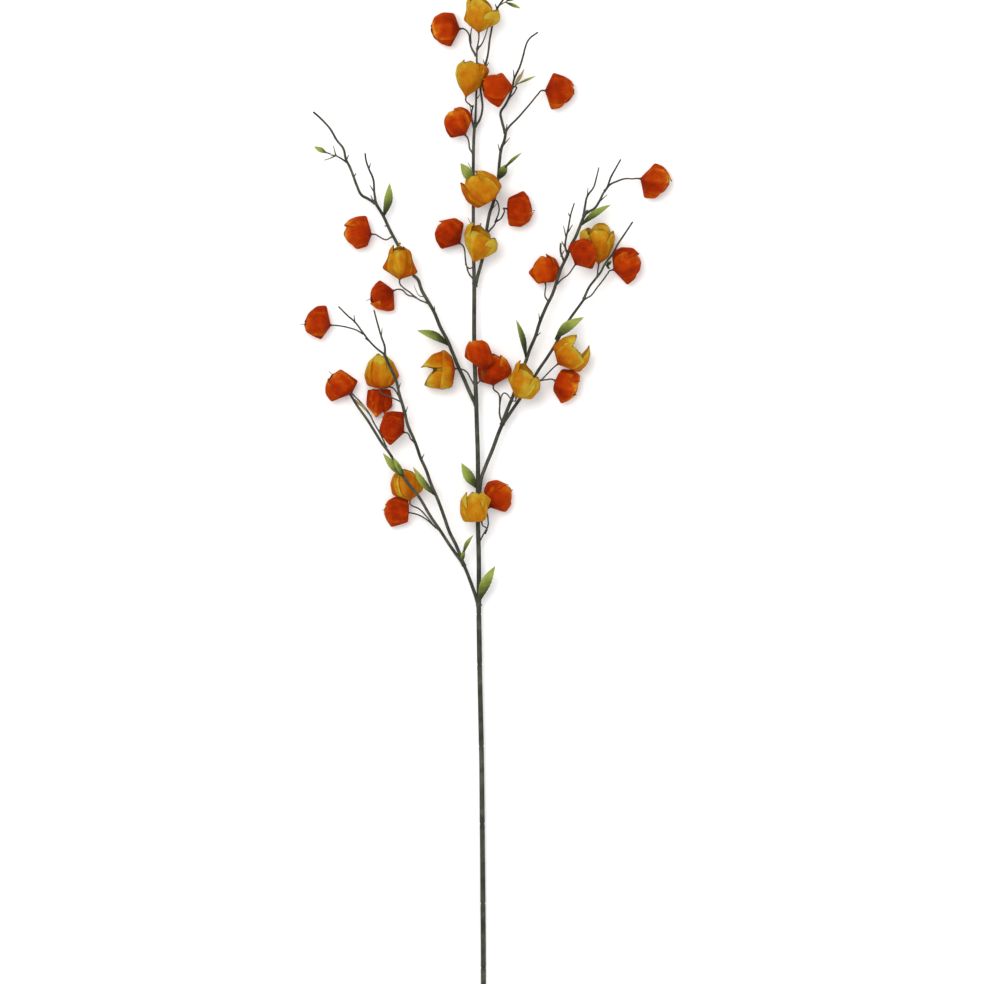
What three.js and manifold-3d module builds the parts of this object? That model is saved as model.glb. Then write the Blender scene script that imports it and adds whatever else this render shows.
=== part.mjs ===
// A spray of Chinese lantern (physalis) as sold for vases, lying on a table: one long dark stem,
// forked side branches, leaves, and red, orange and yellow paper-thin husks on thin pedicels.
// Millimetres, +Z up, +Y towards the tip of the spray, origin under the middle of the spray.
import * as THREE from "three";
import { mergeVertices } from "three/addons/utils/BufferGeometryUtils.js";
import Module from "manifold-3d";

const wasm = await Module();
wasm.setup();

// Driving dimensions.
const clearance = 0.3; // between two pieces that touch
const weld = 0.001; // points nearer to each other than this are one
const huskWall = 1;
const huskLobes = 4;
const columnsPerLobe = 4; // ridge, quarter, valley, quarter
const huskHole = 1.2; // radius of the hole that the pedicel goes through
const straightRun = 4; // of a pedicel, before its husk
const insideRun = 12; // of a pedicel without a pin, from its husk's hole inwards
const bellyShare = 0.97; // of a husk's depth, that its upper and lower petal keep at the belly
const kneeShare = 0.7; // and where they turn in to the mouth
const leafWall = 0.8;
const leafFold = 0.3; // depth of the fold along the midrib, as a share of the half width
const leafArch = 0.08; // rise of the midrib, as a share of the length
const smallLeaf = 6.5; // a blade narrower than this is a folded diamond
const widestShare = 0.45; // of its length, where that diamond is widest
const sprigStalk = [0.7, 0.6]; // radius at the root and at the end
const sprigSides = 4;
const barkRoughness = 0.55;
const clothRoughness = 0.85;
const tableReach = 2000; // half again as long as the spray

const colours = {
  bark: 0x42443a,
  red: 0xa42b02,
  orange: 0xb4480a,
  yellow: 0xc78e22,
  green: 0x7c8b3a,
};

// Share of the reach that each column of a lobe has at the shoulder and at the belly,
// and share of the petal's length that it has at the mouth.
const columnShapes = [
  { shoulder: 1, belly: 1, petal: 1 },
  { shoulder: 0.87, belly: 0.97, petal: 0.9 },
  { shoulder: 0.8, belly: 0.91, petal: 0.62 },
  { shoulder: 0.87, belly: 0.97, petal: 0.9 },
];

// Share of a leaf's length and of its half width, from the stalk to the tip.
const leafOutline = [
  [0, 0.2],
  [0.33, 0.95],
  [0.68, 0.85],
  [1, 0.08],
];

// Each husk: where its pedicel enters [x, y, z], and which way its mouth points (heading in the
// table's plane, from +X to +Y, and tilt above it, in degrees). left and right are the ridges of
// those petals at the shoulder, the belly, the knee and the tip, as [along, out]. front and back are
// the upper and the lower petal: depth, length as a share of the mean of left and right, and how far
// out the tip stays. turn moves their two ridges round the husk's axis, in degrees. pin is how far
// the pedicel's pin reaches from the hole.
const husks = [
  {
    colour: "red", root: [-30, 514, 17.5], heading: 183, tilt: 0,
    left: [[11, 20], [23, 15], [29, 6], [31, 1.5]], right: [[5, 18], [18, 20], [28, 15], [32, 4]],
    front: [18, 0.97, 4], back: [18, 1, 4], turn: [15, 0],
  },
  {
    colour: "yellow", root: [-9, 509, 35], heading: 92, tilt: 8,
    left: [[14, 17], [26, 13], [34, 13], [41, 10]], right: [[7, 18], [11, 24], [18, 25], [24, 23]],
    front: [19, 1.2, 4], back: [18, 1.3, 6], turn: [-18, 10],
  },
  {
    colour: "yellow", root: [-23, 439, 33], heading: 83, tilt: 10,
    left: [[13, 11], [23, 15], [33, 14], [40, 7]], right: [[13, 17], [32, 23], [37, 18], [39, 6]],
    front: [19, 1.02, 2], back: [18, 0.98, 2], turn: [12, 0],
  },
  {
    colour: "orange", root: [28, 449, 40], heading: 180, tilt: 14,
    left: [[15, 24], [26, 18], [32, 11], [35, 1.5]], right: [[12, 16], [22, 12], [29, 10], [35, 8]],
    front: [19, 1, 3], back: [19, 0.95, 4], turn: [25, 0],
  },
  {
    colour: "red", root: [-24, 397, 26.5], heading: 128, tilt: 0,
    left: [[7, 15], [18, 14], [25, 7], [30, 1.5]], right: [[9, 19], [20, 20], [28, 15], [31, 6]],
    front: [18, 0.98, 4], back: [18, 1, 6],
  },
  {
    colour: "red", root: [64, 446, 17.5], heading: -2, tilt: 0,
    left: [[8, 21], [21, 17], [29, 12], [33, 4]], right: [[7, 21], [18, 19], [26, 10], [33, 1.5]],
    front: [18, 0.97, 4], back: [18, 0.97, 4], turn: [-15, 0],
  },
  {
    colour: "yellow", root: [8, 326, 34], heading: 140, tilt: 8,
    left: [[7, 20], [21, 22], [33, 17], [41, 10]], right: [[2, 17], [16, 21], [29, 17], [38, 9]],
    front: [19, 1, 6], back: [18, 0.9, 6], turn: [-20, 0],
  },
  {
    colour: "red", root: [22, 316, 20.5], heading: -4, tilt: 0,
    left: [[0, 12], [17, 22], [24, 14], [26, 5]], right: [[3, 19], [17, 20], [26, 13], [30, 1.5]],
    front: [18, 0.98, 3], back: [18, 1, 6], turn: [10, 0], pin: 31,
  },
  {
    colour: "red", root: [-30, 278, 20.5], heading: 143, tilt: 0,
    left: [[12, 18], [23, 14], [29, 8], [30, 1.5]], right: [[9, 21], [21, 20], [27, 13], [33, 6]],
    front: [18, 0.97, 4], back: [18, 1, 6], turn: [10, 0],
  },
  {
    colour: "yellow", root: [-14, 257, 36.4], heading: 80, tilt: 0,
    left: [[17, 14], [29, 17], [39, 15], [43, 8]], right: [[10, 16], [16, 23], [24, 23], [30, 19]],
    front: [19, 0.9, 4], back: [11, 1.2, -6], turn: [-12, 0],
  },
  {
    colour: "red", root: [-127, 288, 17.5], heading: 178, tilt: 0,
    left: [[4, 14], [16, 18], [25, 9], [30, 1.5]], right: [[6, 21], [16, 20], [25, 16], [32, 8]],
    front: [18, 0.98, 4], back: [18, 1, 4], turn: [-12, 0],
  },
  {
    colour: "yellow", root: [-96, 238, 31.5], heading: 90, tilt: 2,
    left: [[12, 20], [24, 13], [32, 12], [40, 6]], right: [[7, 21], [21, 15], [31, 13], [37, 3]],
    front: [19, 0.86, 4], back: [11, 1.04, -6],
  },
  {
    colour: "red", root: [-103, 226, 14.5], heading: 200, tilt: 0,
    left: [[6, 21], [14, 20], [24, 14], [30, 3]], right: [[10, 17], [18, 14], [23, 8], [26, 1.5]],
    front: [15, 0.92, 2], back: [15, 1, 4], turn: [20, 0], pin: 32,
  },
  {
    colour: "yellow", root: [-35, 140, 24.5], heading: 181, tilt: 0,
    left: [[4, 20], [16, 23], [28, 21], [36, 17]], right: [[4, 13], [12, 21], [25, 17], [38, 1.5]],
    front: [19, 0.58, 10], back: [19, 0.66, 9],
  },
  {
    colour: "red", root: [-172, 188, 16.5], heading: 178, tilt: 0,
    left: [[10, 17], [19, 13], [27, 8], [29, 1.5]], right: [[5, 22], [16, 21], [25, 13], [29, 3]],
    front: [17, 0.98, 4], back: [17, 1, 4], pin: 34,
  },
  {
    colour: "red", root: [-149, 113, 16.5], heading: 136, tilt: 0,
    left: [[9, 23], [20, 21], [27, 14], [31, 5]], right: [[4, 15], [18, 13], [28, 11], [28, 3]],
    front: [17, 0.95, 4], back: [17, 1, 4], turn: [-10, 0], pin: 35,
  },
  {
    colour: "yellow", root: [-117, 118, 22.5], heading: 95, tilt: -3,
    left: [[4, 15], [16, 17], [31, 11], [37, 3]], right: [[2, 13], [12, 23], [28, 17], [38, 7]],
    front: [16, 1.02, 4], back: [14, 0.98, 4],
  },
  {
    colour: "red", root: [-118, 114, 11.5], heading: 262, tilt: 0,
    left: [[-6, 11], [5, 15], [14, 16], [23, 8]], right: [[-2, 14], [9, 14], [17, 13], [24, 3]],
    front: [9, 1.2, 3], back: [12, 1.15, 4],
  },
  {
    colour: "red", root: [-91, 70, 31], heading: 165, tilt: 0,
    left: [[11, 19], [18, 15], [27, 4], [27, 1.5]], right: [[6, 22], [18, 20], [26, 16], [28, 8]],
    front: [14, 0.98, 3], back: [18, 1, 4],
  },
  {
    colour: "yellow", root: [-85, -5, 20], heading: 100, tilt: 0,
    left: [[9, 18], [22, 19], [32, 13], [36, 5]], right: [[9, 17], [20, 17], [29, 11], [34, 2]],
    front: [17, 0.98, 4], back: [17, 1, 4], turn: [-10, 0],
  },
  {
    colour: "red", root: [-89, -18, 14.5], heading: 174, tilt: 0,
    left: [[-4, 10], [15, 19], [22, 10], [25, 1.5]], right: [[-2, 14], [12, 17], [21, 12], [24, 6]],
    front: [15, 0.98, 4], back: [15, 1, 4], pin: 27,
  },
  {
    colour: "yellow", root: [-6, -28, 39], heading: 104, tilt: 1,
    left: [[4, 19], [15, 21], [29, 17], [37, 7]], right: [[1, 3], [11, 9], [21, 17], [32, 8]],
    front: [19, 1.02, 2], back: [15, 0.98, 2], turn: [-20, 0],
  },
  {
    colour: "red", root: [3, -12, 14.5], heading: 45, tilt: 0,
    left: [[7, 18], [18, 22], [27, 16], [32, 2]], right: [[8, 17], [19, 16], [24, 9], [32, 4]],
    front: [15, 0.97, 3], back: [15, 1, 4],
  },
  {
    colour: "red", root: [-4, 138, 36.5], heading: 108, tilt: 4,
    left: [[20, 16], [30, 11], [36, 5], [35, 1.5]], right: [[3, 15], [17, 15], [27, 14], [34, 7]],
    front: [19, 1, 2], back: [14, 0.98, 2],
  },
  {
    colour: "red", root: [7, 122, 16.5], heading: 90, tilt: 0,
    left: [[4, 16], [17, 18], [28, 14], [34, 7]], right: [[10, 19], [17, 21], [29, 15], [35, 7]],
    front: [17, 0.96, 2], back: [17, 1, 2], turn: [-10, 0],
  },
  {
    colour: "yellow", root: [32, 108, 37.5], heading: 75, tilt: 2,
    left: [[19, 15], [28, 10], [36, 11], [43, 5]], right: [[2, 17], [15, 24], [23, 22], [28, 18]],
    front: [19, 0.9, 4], back: [11, 1.2, -6], turn: [10, 0],
  },
  {
    colour: "yellow", root: [78, 145, 28.5], heading: 37, tilt: 2,
    left: [[7, 19], [22, 20], [31, 17], [38, 12]], right: [[13, 22], [26, 20], [35, 14], [41, 3]],
    front: [19, 0.66, 10], back: [18, 0.66, 10], turn: [15, 0],
  },
  {
    colour: "red", root: [75, 127, 16.5], heading: -23, tilt: 0,
    left: [[1, 15], [14, 19], [24, 16], [26, 9]], right: [[2, 11], [16, 22], [23, 14], [28, 4]],
    front: [17, 0.97, 4], back: [17, 1, 4], turn: [20, 0],
  },
  {
    colour: "orange", root: [64, 235, 15.5], heading: 100, tilt: 0,
    left: [[0, 9], [14, 17], [24, 5], [28, 1.5]], right: [[0, 14], [10, 20], [24, 17], [32, 6]],
    front: [16, 0.98, 3], back: [16, 0.95, 4], turn: [25, 0],
  },
  {
    colour: "red", root: [97, 254, 41], heading: 55, tilt: 4,
    left: [[11, 18], [20, 16], [29, 10], [34, 2]], right: [[6, 19], [16, 17], [23, 11], [29, 3]],
    front: [19, 1, 2], back: [18, 0.98, 2], turn: [10, 0],
  },
  {
    colour: "yellow", root: [123, 256, 13.5], heading: 85, tilt: 13,
    left: [[13, 21], [24, 24], [34, 24], [39, 15]], right: [[7, 10], [21, 15], [31, 16], [39, 13]],
    front: [14, 1.1, 10], back: [14, 1.1, 14],
  },
  {
    colour: "red", root: [139, 249, 17.5], heading: 16, tilt: 0,
    left: [[4, 19], [15, 22], [28, 18], [33, 9]], right: [[10, 21], [21, 16], [27, 6], [31, 1.5]],
    front: [18, 0.98, 3], back: [18, 1, 6], turn: [15, 0],
  },
  {
    colour: "red", root: [169, 349, 17.5], heading: -7, tilt: 0,
    left: [[13, 20], [23, 17], [30, 10], [35, 1.5]], right: [[6, 21], [19, 20], [26, 11], [31, 4]],
    front: [18, 0.95, 4], back: [18, 1, 4], turn: [10, 0],
  },
];

// Each stem: its limbs, from root to tip. A limb has its radius at both ends, its number of sides,
// its route [x, y, z], and the number of the husk that it carries.
const stems = {
  main_stem: [
    { radius: [2.75, 2.65], sides: 8, route: [[-4, -559, 2.2], [-4, -510, 2.8], [-5, -389, 7],
      [-6, -286, 10], [-8, -194, 13], [-9, -128, 15.5], [-9, -112, 16]] },
    { radius: [2.55, 2.25], sides: 6, route: [[-9, -121, 15.7], [-9, -70, 16.8], [-10, -26, 17.6],
      [-10, 40, 18.8], [-11, 73, 19.3], [-12, 106, 19.8], [-14, 166, 20], [-14, 227, 20], [-14, 242, 20]] },
    { radius: [1.95, 1.65], sides: 6, route: [[-14, 233, 20], [-15, 282, 19.7], [-15, 326, 19.3],
      [-15, 370, 18.7], [-14, 403, 18.2], [-13, 413, 18]] },
    { radius: [1.3, 1], sides: 6, route: [[-13, 407, 18], [-12, 436, 17.6], [-11, 469, 17.2],
      [-11, 491, 17], [-10, 496, 17]] },
    { radius: [0.9, 0.8], sides: 4, route: [[-9, -52, 17.2], [-6, -46, 18], [-1, -37, 19.5]] },
    { radius: [0.85, 0.8], sides: 4, carries: 22, route: [[-2, -41, 19], [0, -37, 27], [-2, -34, 34]] },
    { radius: [0.85, 0.8], sides: 4, carries: 23, route: [[-2, -40, 19.2], [1, -33, 19], [1, -24, 16.5]] },
    { radius: [0.85, 0.8], sides: 4, carries: 24, route: [[-13, 121, 20], [-10, 124, 28],
      [-5, 130, 34.5]] },
    { radius: [0.85, 0.8], sides: 4, carries: 14, route: [[-13, 120, 20], [-18, 129, 22.5],
      [-23, 137, 24.5]] },
    { radius: [0.9, 0.8], sides: 4, route: [[-14, 237, 20], [-20, 245, 20], [-23, 255, 20]] },
    { radius: [0.85, 0.8], sides: 4, carries: 9, route: [[-23, 254, 20], [-24, 263, 20],
      [-25, 272, 20.5]] },
    { radius: [0.85, 0.8], sides: 4, carries: 10, route: [[-21, 251, 20], [-19, 250, 28.5]] },
    { radius: [1, 0.85], sides: 4, carries: 5, route: [[-15, 376, 18.7], [-19, 382, 21],
      [-20, 389, 24.5]] },
    { radius: [0.55, 0.25], sides: 3, route: [[-14, 356, 19], [-19, 363, 20], [-21, 367, 21]] },
    { radius: [0.55, 0.25], sides: 3, route: [[-15, 297, 19.5], [-19, 302, 20], [-21, 306, 21]] },
    { radius: [1, 0.9], sides: 4, route: [[-14, 402, 18], [-16, 411, 19], [-17, 421, 20],
      [-15, 430, 20.5]] },
    { radius: [0.5, 0.25], sides: 3, route: [[-17, 420, 20], [-19, 430, 21]] },
    { radius: [0.85, 0.8], sides: 4, carries: 3, route: [[-16, 428, 20.3], [-20, 431, 26]] },
    { radius: [1.25, 1.05], sides: 4, route: [[-13, 406, 18], [-8, 414, 19], [-5, 427, 19.5],
      [-6, 439, 19], [-7, 449, 18], [-4, 460, 17], [-2, 473, 17.5], [1, 486, 18], [3, 502, 18.5],
      [5, 513, 19], [7, 524, 20], [9, 531, 21], [13, 539, 22], [19, 548, 24], [21, 556, 26]] },
    { radius: [0.7, 0.4], sides: 3, route: [[-2, 473, 17.5], [-4, 480, 19]] },
    { radius: [0.7, 0.4], sides: 3, route: [[-2, 471, 17.5], [2, 477, 18]] },
    { radius: [0.7, 0.4], sides: 3, route: [[1, 485, 18], [2, 492, 19]] },
    { radius: [0.7, 0.4], sides: 3, route: [[11, 536, 21.7], [9, 541, 23]] },
    { radius: [0.5, 0.3], sides: 3, route: [[-12, 436, 17.6], [-7, 443, 18]] },
    { radius: [1.15, 0.85], sides: 4, carries: 1, route: [[-12, 484, 17.1], [-17, 493, 18],
      [-19, 501, 18.2], [-20, 508, 17.8]] },
    { radius: [0.95, 0.5], sides: 3, route: [[-18, 498, 18.7], [-18, 508, 18], [-16, 518, 18]] },
    { radius: [0.85, 0.8], sides: 4, carries: 2, route: [[-11, 492, 17], [-10, 497, 22], [-9, 502, 30]] },
    { radius: [0.95, 0.5], sides: 3, route: [[-11, 491, 17], [-6, 497, 17.3], [-2, 506, 17],
      [1, 516, 16.5]] },
  ],
  left_lower_branch: [
    { radius: [2, 1.8], sides: 5, route: [[-9, -122, 15.8], [-13, -109, 16.5], [-19, -92, 18],
      [-25, -77, 20], [-29, -69, 21]] },
    { radius: [1.8, 1.35], sides: 5, route: [[-26, -75, 20.3], [-41, -54, 26], [-52, -37, 31],
      [-61, -24, 34.5], [-76, 1, 38.5], [-86, 13, 39.8], [-96, 29, 40], [-107, 47, 40], [-116, 59, 40],
      [-124, 72, 39.5], [-133, 86, 39], [-141, 97, 38], [-151, 113, 36.5]] },
    { radius: [1.9, 1.55], sides: 5, route: [[-25, -77, 20], [-34, -54, 24], [-41, -40, 27],
      [-47, -23, 30], [-54, -4, 32.5], [-61, 12, 34.5], [-67, 29, 36.5], [-73, 42, 38], [-77, 54, 39],
      [-81, 64, 39.5], [-87, 78, 40], [-91, 95, 40.3], [-96, 111, 40.5], [-100, 128, 41],
      [-107, 143, 41.5], [-113, 157, 41]] },
    { radius: [0.85, 0.8], sides: 4, carries: 20, route: [[-50, -40, 30.5], [-58, -33, 27],
      [-66, -23, 24], [-75, -14, 20.5]] },
    { radius: [0.85, 0.8], sides: 4, carries: 21, route: [[-56, -35, 28], [-65, -27, 23.5],
      [-75, -21, 18]] },
    { radius: [0.85, 0.8], sides: 4, carries: 16, route: [[-110, 53, 40], [-117, 68, 38.5],
      [-124, 80, 36], [-129, 90, 32.5], [-138, 102, 25]] },
    { radius: [0.85, 0.8], sides: 4, carries: 19, route: [[-79, 58, 39], [-84, 63, 34]] },
    { radius: [0.7, 0.4], sides: 3, route: [[-72, 40, 38], [-69, 46, 39]] },
    { radius: [0.7, 0.4], sides: 3, route: [[-90, 89, 40], [-87, 98, 41]] },
    { radius: [0.7, 0.4], sides: 3, route: [[-97, 117, 40.5], [-95, 124, 41.5]] },
    { radius: [0.85, 0.8], sides: 4, carries: 17, route: [[-94, 103, 40.3], [-100, 106, 31],
      [-109, 110, 24.5]] },
    { radius: [0.85, 0.8], sides: 4, carries: 18, route: [[-91, 90, 40], [-94, 101, 30],
      [-99, 113, 19], [-106, 120, 12], [-113, 119, 11.5]] },
    { radius: [1.1, 0.9], sides: 4, route: [[-112, 155, 41], [-120, 161, 40], [-129, 170, 38],
      [-136, 179, 36], [-145, 191, 37], [-153, 198, 38], [-163, 208, 39]] },
    { radius: [0.7, 0.4], sides: 3, route: [[-129, 170, 38], [-134, 173, 39]] },
    { radius: [0.7, 0.4], sides: 3, route: [[-145, 190, 37], [-146, 199, 38]] },
    { radius: [1.2, 0.9], sides: 4, route: [[-112, 154, 41], [-112, 163, 41.5], [-116, 175, 42],
      [-120, 189, 42.5], [-124, 204, 43]] },
    { radius: [0.7, 0.4], sides: 3, route: [[-116, 174, 42], [-115, 184, 43]] },
    { radius: [0.85, 0.8], sides: 4, carries: 15, route: [[-136, 178, 36], [-143, 182, 33.5],
      [-152, 185, 28], [-161, 187, 21.5]] },
  ],
  left_upper_branch: [
    { radius: [2.1, 1.6], sides: 5, route: [[-12, 100, 19.7], [-19, 114, 20], [-25, 128, 20.3],
      [-32, 143, 20.7], [-38, 158, 21], [-44, 172, 21], [-51, 185, 21], [-58, 202, 21], [-66, 216, 21],
      [-72, 227, 20.5], [-76, 238, 20], [-81, 243, 20], [-90, 261, 19.5], [-99, 278, 19],
      [-107, 293, 19], [-114, 308, 19], [-120, 318, 19.5], [-125, 326, 20]] },
    { radius: [0.6, 0.4], sides: 3, route: [[-109, 297, 19], [-113, 297, 20]] },
    { radius: [0.7, 0.4], sides: 3, route: [[-57, 199, 21], [-58, 209, 22]] },
    { radius: [0.85, 0.8], sides: 4, carries: 12, route: [[-78, 218, 21.5], [-85, 224, 24],
      [-92, 229, 28.5]] },
    { radius: [0.85, 0.8], sides: 4, carries: 13, route: [[-65, 212, 21], [-73, 215, 21.5],
      [-80, 219, 21.5], [-87, 221, 18.5], [-94, 227, 15.5]] },
    { radius: [0.55, 0.25], sides: 3, route: [[-68, 219, 21], [-74, 220, 21], [-78, 226, 21.5],
      [-80, 232, 22]] },
    { radius: [0.85, 0.8], sides: 4, carries: 11, route: [[-103, 286, 19], [-111, 282, 18.5],
      [-118, 285, 17.8]] },
    { radius: [1.55, 1.1], sides: 4, route: [[-123, 322, 20], [-131, 327, 20], [-138, 331, 20.5],
      [-143, 341, 21], [-146, 349, 21.5], [-151, 362, 22.5], [-155, 370, 23], [-158, 382, 24],
      [-165, 391, 25], [-172, 403, 26], [-177, 409, 27], [-185, 417, 28], [-191, 422, 29]] },
    { radius: [0.6, 0.45], sides: 3, route: [[-125, 324, 20], [-128, 331, 21]] },
    { radius: [0.5, 0.4], sides: 3, route: [[-136, 330, 20.4], [-140, 332, 21]] },
    { radius: [0.7, 0.4], sides: 3, route: [[-147, 350, 21.5], [-144, 355, 22.5]] },
    { radius: [0.7, 0.4], sides: 3, route: [[-155, 369, 23], [-152, 375, 24]] },
    { radius: [1, 0.7], sides: 4, route: [[-154, 367, 23], [-162, 372, 24], [-166, 374, 24.5],
      [-172, 375, 25]] },
    { radius: [0.7, 0.4], sides: 3, route: [[-166, 374, 24.5], [-169, 385, 26]] },
    { radius: [0.7, 0.4], sides: 3, route: [[-167, 374, 24.5], [-173, 371, 25], [-179, 369, 25.5]] },
    { radius: [1.3, 0.95], sides: 4, route: [[-122, 321, 19.8], [-124, 334, 21], [-125, 348, 22],
      [-130, 360, 23], [-133, 369, 24], [-134, 377, 25]] },
    { radius: [0.7, 0.4], sides: 3, route: [[-124, 334, 21], [-129, 342, 22]] },
    { radius: [0.7, 0.4], sides: 3, route: [[-130, 359, 23], [-128, 366, 24]] },
  ],
  right_branch: [
    { radius: [2, 2.1], sides: 5, route: [[-9, -1, 18.2], [-6, 20, 19], [-1, 34, 19.5], [6, 51, 20],
      [13, 70, 20], [19, 84, 20]] },
    { radius: [2, 1.65], sides: 5, route: [[16, 78, 20], [22, 94, 20.3], [29, 111, 21],
      [36, 131, 21.5], [44, 152, 22.5], [47, 161, 23], [53, 175, 23.5], [58, 191, 24], [66, 210, 24.5],
      [72, 222, 25], [77, 237, 25], [81, 249, 25], [88, 264, 25], [92, 275, 25], [97, 284, 25.5],
      [102, 296, 26], [107, 308, 26.5], [111, 314, 27]] },
    { radius: [1.9, 1.4], sides: 5, route: [[17, 79, 20], [28, 95, 20.5], [37, 108, 21.5],
      [47, 122, 22.5], [57, 139, 23.2], [66, 152, 23.3], [76, 168, 24.1], [84, 183, 25.6],
      [92, 196, 27], [100, 207, 28], [108, 218, 29]] },
    { radius: [1.1, 0.85], sides: 4, carries: 25, route: [[17, 80, 20], [14, 89, 20], [14, 102, 19],
      [13, 112, 17.5]] },
    { radius: [0.85, 0.8], sides: 4, carries: 26, route: [[14, 101, 20], [16, 110, 26], [20, 113, 32.5]] },
    { radius: [0.9, 0.8], sides: 4, carries: 27, route: [[42, 114, 22], [51, 123, 23.5], [59, 127, 25],
      [65, 133, 27]] },
    { radius: [0.85, 0.8], sides: 4, carries: 28, route: [[58, 127, 24.8], [66, 128, 20]] },
    { radius: [0.7, 0.4], sides: 3, route: [[53, 174, 23.5], [59, 180, 24.5]] },
    { radius: [0.7, 0.4], sides: 3, route: [[58, 190, 24], [57, 201, 25]] },
    { radius: [0.85, 0.8], sides: 4, carries: 29, route: [[68, 213, 24.5], [64, 219, 21.5],
      [64, 226, 17.5]] },
    { radius: [0.85, 0.8], sides: 4, carries: 30, route: [[77, 233, 25], [82, 238, 28], [89, 243, 34.5]] },
    { radius: [1.2, 1.1], sides: 4, route: [[85, 257, 25], [81, 268, 26], [81, 278, 27]] },
    { radius: [0.7, 0.4], sides: 3, route: [[81, 263, 25.6], [85, 270, 26.5]] },
    { radius: [1.2, 0.75], sides: 4, route: [[89, 264, 25], [86, 274, 26.5], [87, 284, 28],
      [89, 293, 29], [92, 309, 30], [96, 322, 31]] },
    { radius: [0.7, 0.4], sides: 3, route: [[86, 273, 26.4], [82, 280, 27.5]] },
    { radius: [0.7, 0.4], sides: 3, route: [[87, 284, 28], [84, 297, 29]] },
    { radius: [0.7, 0.4], sides: 3, route: [[89, 290, 28.8], [94, 298, 30]] },
    { radius: [0.7, 0.4], sides: 3, route: [[92, 306, 29.8], [89, 311, 31]] },
    { radius: [1.35, 0.75], sides: 4, route: [[106, 307, 26.3], [108, 320, 28], [110, 329, 29],
      [117, 339, 30], [120, 349, 31], [123, 361, 32]] },
    { radius: [0.7, 0.4], sides: 3, route: [[110, 328, 29], [111, 339, 30]] },
    { radius: [1.4, 0.9], sides: 4, route: [[109, 311, 26.7], [118, 316, 27], [123, 323, 27],
      [128, 333, 27], [132, 339, 27], [136, 350, 28], [142, 361, 29], [147, 370, 30]] },
    { radius: [0.7, 0.4], sides: 3, route: [[123, 323, 27], [132, 331, 28]] },
    { radius: [1.2, 0.85], sides: 4, carries: 33, route: [[129, 335, 27], [135, 342, 26],
      [143, 346, 24.5], [152, 349, 20.5], [161, 349, 18.3]] },
    { radius: [1.4, 0.95], sides: 4, route: [[106, 216, 28.8], [112, 229, 31], [118, 237, 32],
      [125, 246, 33.5], [129, 254, 34.5], [138, 266, 36], [144, 277, 37], [150, 286, 37.5],
      [160, 301, 39]] },
    { radius: [0.85, 0.8], sides: 4, carries: 31, route: [[118, 237, 32], [121, 242, 26],
      [122, 249, 17.5]] },
    { radius: [0.85, 0.8], sides: 4, carries: 32, route: [[107, 216, 28.8], [114, 220, 28],
      [121, 229, 27], [128, 238, 24], [133, 245, 20]] },
  ],
  top_right_branch: [
    { radius: [1.9, 1.6], sides: 5, route: [[-13, 230, 20], [-10, 243, 20], [-6, 257, 20],
      [-2, 277, 20], [0, 295, 20], [3, 311, 20], [7, 323, 20], [12, 348, 19.5], [14, 370, 19.3],
      [16, 383, 19.3], [19, 391, 19.3], [21, 403, 19.5]] },
    { radius: [0.6, 0.45], sides: 3, route: [[21, 402, 19.5], [22, 409, 20.5]] },
    { radius: [0.7, 0.4], sides: 3, route: [[15, 376, 19.3], [12, 387, 20.5]] },
    { radius: [0.7, 0.4], sides: 3, route: [[18, 386, 19.3], [25, 394, 20.5]] },
    { radius: [0.55, 0.25], sides: 3, route: [[4, 314, 20], [12, 323, 19]] },
    { radius: [1, 0.85], sides: 4, route: [[1, 290, 20], [8, 298, 20], [11, 305, 20.5]] },
    { radius: [0.85, 0.8], sides: 4, carries: 7, route: [[9, 301, 20.3], [13, 312, 26], [13, 318, 30.5]] },
    { radius: [0.85, 0.8], sides: 4, carries: 8, route: [[10, 302, 20.3], [14, 304, 20.5],
      [18, 310, 20.5], [19, 315, 20.5]] },
    { radius: [1.5, 0.9], sides: 4, route: [[20, 399, 19.5], [16, 414, 19.3], [15, 422, 19],
      [20, 430, 18.5], [24, 438, 18], [28, 450, 18.5], [30, 459, 19.5], [36, 472, 21], [40, 485, 22],
      [42, 493, 22.5], [46, 502, 23], [56, 510, 24]] },
    { radius: [0.7, 0.4], sides: 3, route: [[30, 458, 19.4], [29, 469, 20.5]] },
    { radius: [0.85, 0.8], sides: 4, carries: 4, route: [[24, 437, 18], [28, 441, 26], [31, 445, 34]] },
    { radius: [1.2, 0.85], sides: 4, carries: 6, route: [[21, 402, 19.5], [25, 407, 19.5],
      [34, 416, 19.5], [41, 424, 19.5], [47, 431, 18.5], [56, 442, 17.8]] },
  ],
};

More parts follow.
